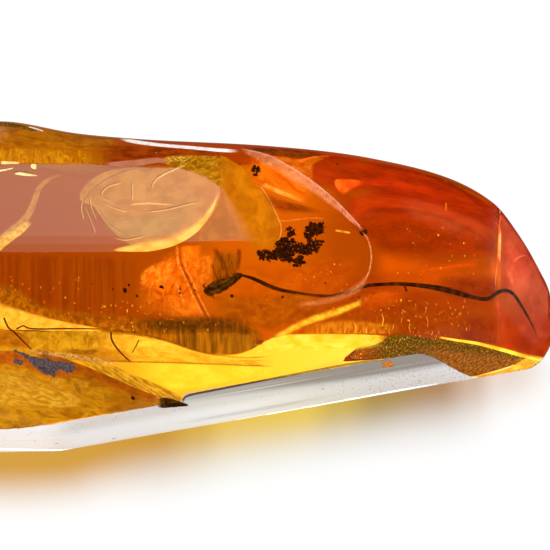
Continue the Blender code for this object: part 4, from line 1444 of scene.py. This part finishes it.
def studio_world():
    """A dark room with soft glowing panels round the stone."""
    world = bpy.data.worlds.new("studio")
    world.use_nodes = True
    nodes = Nodes(world.node_tree, world=True)
    direction = nodes.add("ShaderNodeTexCoord")["Generated"]

    def towards(axis):
        inputs = {0: direction, 1: tuple(axis)}
        return nodes.add("ShaderNodeVectorMath", {"operation": "DOT_PRODUCT"}, inputs)["Value"]

    radiance = 0.0
    for azimuth, elevation, width, height, strength in PANELS:
        middle = facing(azimuth, elevation)
        side = np.array((math.cos(math.radians(azimuth)), math.sin(math.radians(azimuth)), 0.0))
        up = np.cross(side, middle)
        across, over = towards(side / width), towards(up / height)
        spread = (across * across + over * over) * -1.0
        radiance = spread.exponential() * (towards(middle) > 0.0) * strength + radiance
    background = nodes.add("ShaderNodeBackground", inputs={"Color": (*WHITE, 1.0), "Strength": radiance})
    nodes.add("ShaderNodeOutputWorld", inputs={"Surface": background["Background"]})
    return world


FLOOR_SIZE = 4.0            # half the floor's side, in metres
FLOOR_GAP = 0.00005         # how far it lies below the stone, in metres
FLOOR_GLOW = 1.05
FLOOR_DULLING = 0.85        # share by which the floor's mirror image in the polish is dulled
# Straight edges of the stone's foot: azimuth faced, and how far out from the middle, in millimetres.
FOOT_EDGES = ((22.0, 7.8), (3.0, 9.4), (80.0, 32.5), (182.0, 9.6), (285.0, 32.0))
# Colours of the light that falls through the stone onto the floor in front, from left to right.
FRONT_HALO = (
    (-12.0, (0.66, 0.345, 0.06)), (-1.5, (0.64, 0.335, 0.055)), (4.5, (0.60, 0.31, 0.045)),
    (7.5, (0.68, 0.42, 0.07)), (9.8, (0.80, 0.53, 0.10)), (15.0, (0.80, 0.56, 0.09)),
    (18.0, (0.60, 0.42, 0.08)), (21.0, (0.42, 0.27, 0.07)), (25.5, (0.43, 0.24, 0.11)),
    (28.0, (0.62, 0.44, 0.32)), (30.0, (0.80, 0.67, 0.58)),
)
FRONT_HALO_WIDTH = 5.5
# The wider, duller shadow round it.
FRONT_SHADE = (
    (-8.0, (0.50, 0.36, 0.20)), (6.0, (0.50, 0.38, 0.22)), (11.0, (0.55, 0.58, 0.50)),
    (17.0, (0.50, 0.50, 0.44)), (24.0, (0.45, 0.38, 0.30)),
)
FRONT_SHADE_WIDTH = 8.0
# The same behind the stone and right under it.
BACK_HALO = (
    (-8.0, (0.50, 0.15, 0.0)), (3.0, (0.56, 0.17, 0.0)), (8.0, (0.86, 0.27, 0.0)),
    (12.5, (0.84, 0.24, 0.0)), (16.5, (0.56, 0.13, 0.0)), (20.4, (0.52, 0.10, 0.0)),
    (29.0, (0.60, 0.11, 0.0)),
)
BACK_HALO_REACH = (13.0, 17.0)
BACK_HALO_END = (31.0, 33.4)
UNDER_HALO = (
    (-9.0, (0.66, 0.62, 0.03)), (-2.0, (0.58, 0.42, 0.02)), (2.0, (0.52, 0.22, 0.01)),
    (14.0, (0.62, 0.20, 0.0)),
)
UNDER_EDGE = -1.2           # how far inside the foot the light under the stone begins
# Stretches of X: where the front's light and shade end, and how they change at the left.
FRONT_HALO_END = (36.0, 30.5)
FRONT_HALO_LEFT = (-7.0, 9.0, 1.7, -0.2)
FRONT_SHADE_END = (31.5, 26.5)
FRONT_SHADE_LEFT = (-1.0, 6.0, 0.08, 0.5)
BACK_START = (5.0, 9.4)     # the stretch of Y where the front's colours give way to the back's
FIRE_START = (18.8, 20.4)   # the stretch of X where the fire behind the stone begins
FIRE_LINE = 15.8            # Y of its bright line
FIRE_WIDTH = (1.6, 0.2)
FIRE = (0.95, 0.20, 0.0)
FAR_FIRE_START = (18.6, 20.2)       # the stretch of Y where its far, darker part begins
FAR_FIRE = (0.72, 0.09, 0.005)


def striped(nodes, x, stops):
    """Colour that runs through the stops along X."""
    (last, colour), rest = stops[0], stops[1:]
    for place, following in rest:
        colour = nodes.mixed(x.ramp(last, place), colour, following)
        last = place
    return colour


def floor_colour(nodes, x, y):
    """White, with the stone's coloured shadow round its foot and the fire it throws behind it."""
    outside = None
    for azimuth, reach in FOOT_EDGES:
        n = facing(azimuth, 0.0)
        edge = x * float(n[0]) + y * float(n[1]) - reach
        outside = edge if outside is None else outside.high(edge)
    drift = nodes.noise(nodes.position, 60.0, 2.0) * 2.0 - 1.0
    near = (outside + drift - x.ramp(*FRONT_HALO_LEFT)).high(0.0) * (1.0 / FRONT_HALO_WIDTH)
    near = (near * near * -1.0).exponential() * x.ramp(*FRONT_HALO_END)
    wide = (outside + drift).high(0.0) * (1.0 / FRONT_SHADE_WIDTH)
    wide = (wide * wide * -1.0).exponential() * x.ramp(*FRONT_SHADE_END) * x.ramp(*FRONT_SHADE_LEFT)
    front = nodes.mixed(wide, WHITE, striped(nodes, x, FRONT_SHADE))
    front = nodes.mixed(near, front, striped(nodes, x, FRONT_HALO))
    back = striped(nodes, x, BACK_HALO)
    sway = nodes.noise(nodes.position, 90.0, 2.0) * 1.6 - 0.8
    fire = (y + sway - FIRE_LINE).absolute().ramp(*FIRE_WIDTH) * x.ramp(*FIRE_START)
    back = nodes.mixed(fire, back, FIRE)
    top = (y + sway).ramp(*FAR_FIRE_START) * x.ramp(*FIRE_START)
    back = nodes.mixed(top, back, FAR_FIRE)
    far = (outside + drift).ramp(*BACK_HALO_REACH, 1.0, 0.0) * x.ramp(*BACK_HALO_END, 1.0, 0.0)
    back = nodes.mixed(far, WHITE, back)
    colour = nodes.mixed(y.ramp(*BACK_START), front, back)
    return nodes.mixed(outside < UNDER_EDGE, colour, striped(nodes, x, UNDER_HALO))


# Lamps that show in the window: name, corners of the mirror image, colour.
SOFTBOXES = (
    ("softbox", ((-60, 163.5), (60, 164), (115, 163.5), (146, 160), (160, 158.5), (174, 164), (187, 169.5),
                 (205, 177), (219, 186), (220, 195), (214, 208), (204, 220), (190, 232), (185, 236),
                 (-60, 236)), (1.75, 2.5, 2.05)),
    ("softbox_lower", ((-60, 236), (185, 236), (171, 244), (-60, 244)), (1.3, 1.8, 1.4)),
    ("softbox_lowest", ((-60, 244), (171, 244), (152, 250), (115, 252), (-60, 252.5)), (0.9, 1.25, 0.85)),
)
# The side lamp, which fades out in steps towards its far edge.
SOFTBOX_SIDE = ((195, 241.5), (172, 243), (190, 232), (204, 220), (214, 208), (220, 195), (219, 186))
SOFTBOX_SIDE_COLOUR = (1.05, 1.5, 1.05)
SOFTBOX_EDGE = ((222, 187), (231, 198), (241, 213), (250, 227), (258, 241))
SOFTBOX_EDGE_STEPS = 6
SOFTBOX_EDGE_REACH = 18.0   # width of the soft edge at its lower end, in pixels
SOFTBOX_DISTANCE = 1000.0


def softbox(sight, name, outline, colour):
    """A small distant lamp whose mirror image lies as a milky veil on the window."""
    point, azimuth, elevation, _ = FACES["window"]
    normal = Vector(facing(azimuth, elevation))
    corners = []
    for column, row in outline:
        direction = sight.ray(column, row)
        reach = (Vector(point) - Vector(EYE)).dot(normal) / direction.dot(normal)
        hit = Vector(EYE) + direction * reach
        bounced = direction - normal * (2 * direction.dot(normal))
        corners.append((hit + bounced * SOFTBOX_DISTANCE) * MM)
    mesh = bpy.data.meshes.new(name)
    mesh.from_pydata(corners, [], [tuple(range(len(corners)))])
    material, nodes = new_material(name + " glow")
    glow = nodes.add("ShaderNodeEmission", inputs={"Color": (*colour, 1.0), "Strength": 1.0})
    nodes.output(glow["Emission"])
    mesh.materials.append(material)
    card = put(name, mesh)


def softbox_edge(step):
    """One of the lines that the side lamp fades out along, from full light at step 0."""
    reach = SOFTBOX_EDGE_REACH * (1.0 - step / SOFTBOX_EDGE_STEPS)
    last = len(SOFTBOX_EDGE) - 1
    return tuple((column - reach * i / last, row) for i, (column, row) in enumerate(SOFTBOX_EDGE))


def softboxes(sight):
    for name, outline, colour in SOFTBOXES:
        softbox(sight, name, outline, colour)
    softbox(sight, "softbox_side", SOFTBOX_SIDE + softbox_edge(0), SOFTBOX_SIDE_COLOUR)
    for step in range(SOFTBOX_EDGE_STEPS):
        outline = softbox_edge(step) + softbox_edge(step + 1)[::-1]
        share = 1.0 - (step + 0.5) / SOFTBOX_EDGE_STEPS
        softbox(sight, f"softbox_edge_{step}", outline, tuple(share * part for part in SOFTBOX_SIDE_COLOUR))


def white_floor():
    bm = bmesh.new()
    bmesh.ops.create_grid(bm, x_segments=4, y_segments=4, size=FLOOR_SIZE)
    mesh = bpy.data.meshes.new("floor")
    bm.to_mesh(mesh)
    bm.free()
    material, nodes = new_material("white floor")
    path = nodes.add("ShaderNodeLightPath")
    mirrored = path["Is Reflection Ray"] * (1.0 - path["Is Diffuse Ray"]) * FLOOR_DULLING
    colour = nodes.mixed(mirrored, floor_colour(nodes, nodes.x, nodes.y), BLACK)
    surface = nodes.add("ShaderNodeBsdfPrincipled", inputs={
        "Base Color": (*BLACK, 1.0), "Roughness": 1.0, "Specular IOR Level": 0.0,
        "Emission Color": colour, "Emission Strength": FLOOR_GLOW})
    nodes.output(surface["BSDF"])
    mesh.materials.append(material)
    floor = put("floor", mesh)
    floor.location = (0, 0, -FLOOR_GAP)


SENSOR = 36.0               # width of the camera's sensor, in millimetres
LIGHT_BOUNCES = 24


def front_camera(scene):
    camera = bpy.data.cameras.new("camera")
    camera.sensor_width = SENSOR
    camera.lens = SENSOR * CAMERA_DISTANCE / (PICTURE * PIXEL)
    camera.clip_start, camera.clip_end = 0.01, 20.0
    scene.camera = put("camera", camera)
    scene.camera.location = Vector(EYE) * MM
    scene.camera.rotation_euler = (math.pi / 2 - RISE, 0, 0)
    scene.view_settings.view_transform = "Standard"
    scene.cycles.max_bounces = LIGHT_BOUNCES
    scene.cycles.transmission_bounces = LIGHT_BOUNCES
    scene.cycles.transparent_max_bounces = LIGHT_BOUNCES


# ---------------------------------------------------------------- add-on

class AmberSettings(bpy.types.PropertyGroup):
    ior: bpy.props.FloatProperty(
        name="Refractive index", description="Refractive index of the amber", default=1.54, min=1.0, max=2.5)
    absorb_colour: bpy.props.FloatVectorProperty(
        name="Absorption colour", description="Colour that passes through the amber", subtype="COLOR",
        size=3, default=(0.976, 0.868, 0.42), min=0.0, max=1.0)
    absorb_density: bpy.props.FloatProperty(
        name="Absorption density", description="How strongly the amber absorbs, per metre", default=500.0)


def stone_sight():
    return Sight(bpy.data.objects["amber_stone"].data, bpy.context.scene.amber_settings.ior)


class AMBER_OT_stone(bpy.types.Operator):
    """Build the polished stone"""
    bl_idname = "amber.stone"
    bl_label = "Stone"

    def execute(self, context):
        mesh = stone_mesh(RINGS, RING_POINTS)
        mesh.materials.append(amber_material(context.scene.amber_settings))
        stone = put("amber_stone", mesh)
        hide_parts("amber")
        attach(stone, "root")
        return {"FINISHED"}


class AMBER_OT_flow(bpy.types.Operator):
    """Build the flow layers and lines inside the stone, with their painted glows, glints and reflections"""
    bl_idname = "amber.flow"
    bl_label = "Flow layers"

    def execute(self, context):
        sight = stone_sight()
        flow_veils(sight)
        flow_lines_and_glints(sight)
        return {"FINISHED"}


class AMBER_OT_fractures(bpy.types.Operator):
    """Build the stress discs and the chipped corner"""
    bl_idname = "amber.fractures"
    bl_label = "Fractures"

    def execute(self, context):
        sight = stone_sight()
        stress_discs(sight)
        chipped_corner(sight)
        return {"FINISHED"}


class AMBER_OT_inclusions(bpy.types.Operator):
    """Build the insect, its thread, the debris and the flecks"""
    bl_idname = "amber.inclusions"
    bl_label = "Inclusions"

    def execute(self, context):
        sight = stone_sight()
        insect(sight)
        thread(sight)
        debris(sight)
        flecks(sight)
        return {"FINISHED"}


class AMBER_OT_scuffs(bpy.types.Operator):
    """Build the worn edges and the painted highlights on the surface"""
    bl_idname = "amber.scuffs"
    bl_label = "Scuffs and highlights"

    def execute(self, context):
        scuffs(stone_sight())
        return {"FINISHED"}


class AMBER_OT_stage(bpy.types.Operator):
    """Build the floor, the studio light and the camera"""
    bl_idname = "amber.stage"
    bl_label = "Stage"

    def execute(self, context):
        white_floor()
        softboxes(stone_sight())
        context.scene.world = studio_world()
        front_camera(context.scene)
        return {"FINISHED"}


class AMBER_PT_panel(bpy.types.Panel):
    """Lists the steps that build the piece"""
    bl_idname = "AMBER_PT_panel"
    bl_label = "Amber"
    bl_space_type = "VIEW_3D"
    bl_region_type = "UI"
    bl_category = "Amber"

    def draw(self, context):
        for operator in OPERATORS:
            self.layout.operator(operator.bl_idname)


OPERATORS = (AMBER_OT_stone, AMBER_OT_inclusions, AMBER_OT_flow, AMBER_OT_fractures, AMBER_OT_scuffs,
             AMBER_OT_stage)
CLASSES = (AmberSettings, *OPERATORS, AMBER_PT_panel)


def register():
    for cls in CLASSES:
        bpy.utils.register_class(cls)
    bpy.types.Scene.amber_settings = bpy.props.PointerProperty(type=AmberSettings)


def unregister():
    del bpy.types.Scene.amber_settings
    for cls in reversed(CLASSES):
        bpy.utils.unregister_class(cls)


def main():
    register()
    bpy.ops.amber.stone()
    bpy.ops.amber.inclusions()
    bpy.ops.amber.flow()
    bpy.ops.amber.fractures()
    bpy.ops.amber.scuffs()
    bpy.ops.amber.stage()


if __name__ == "__main__":
    main()
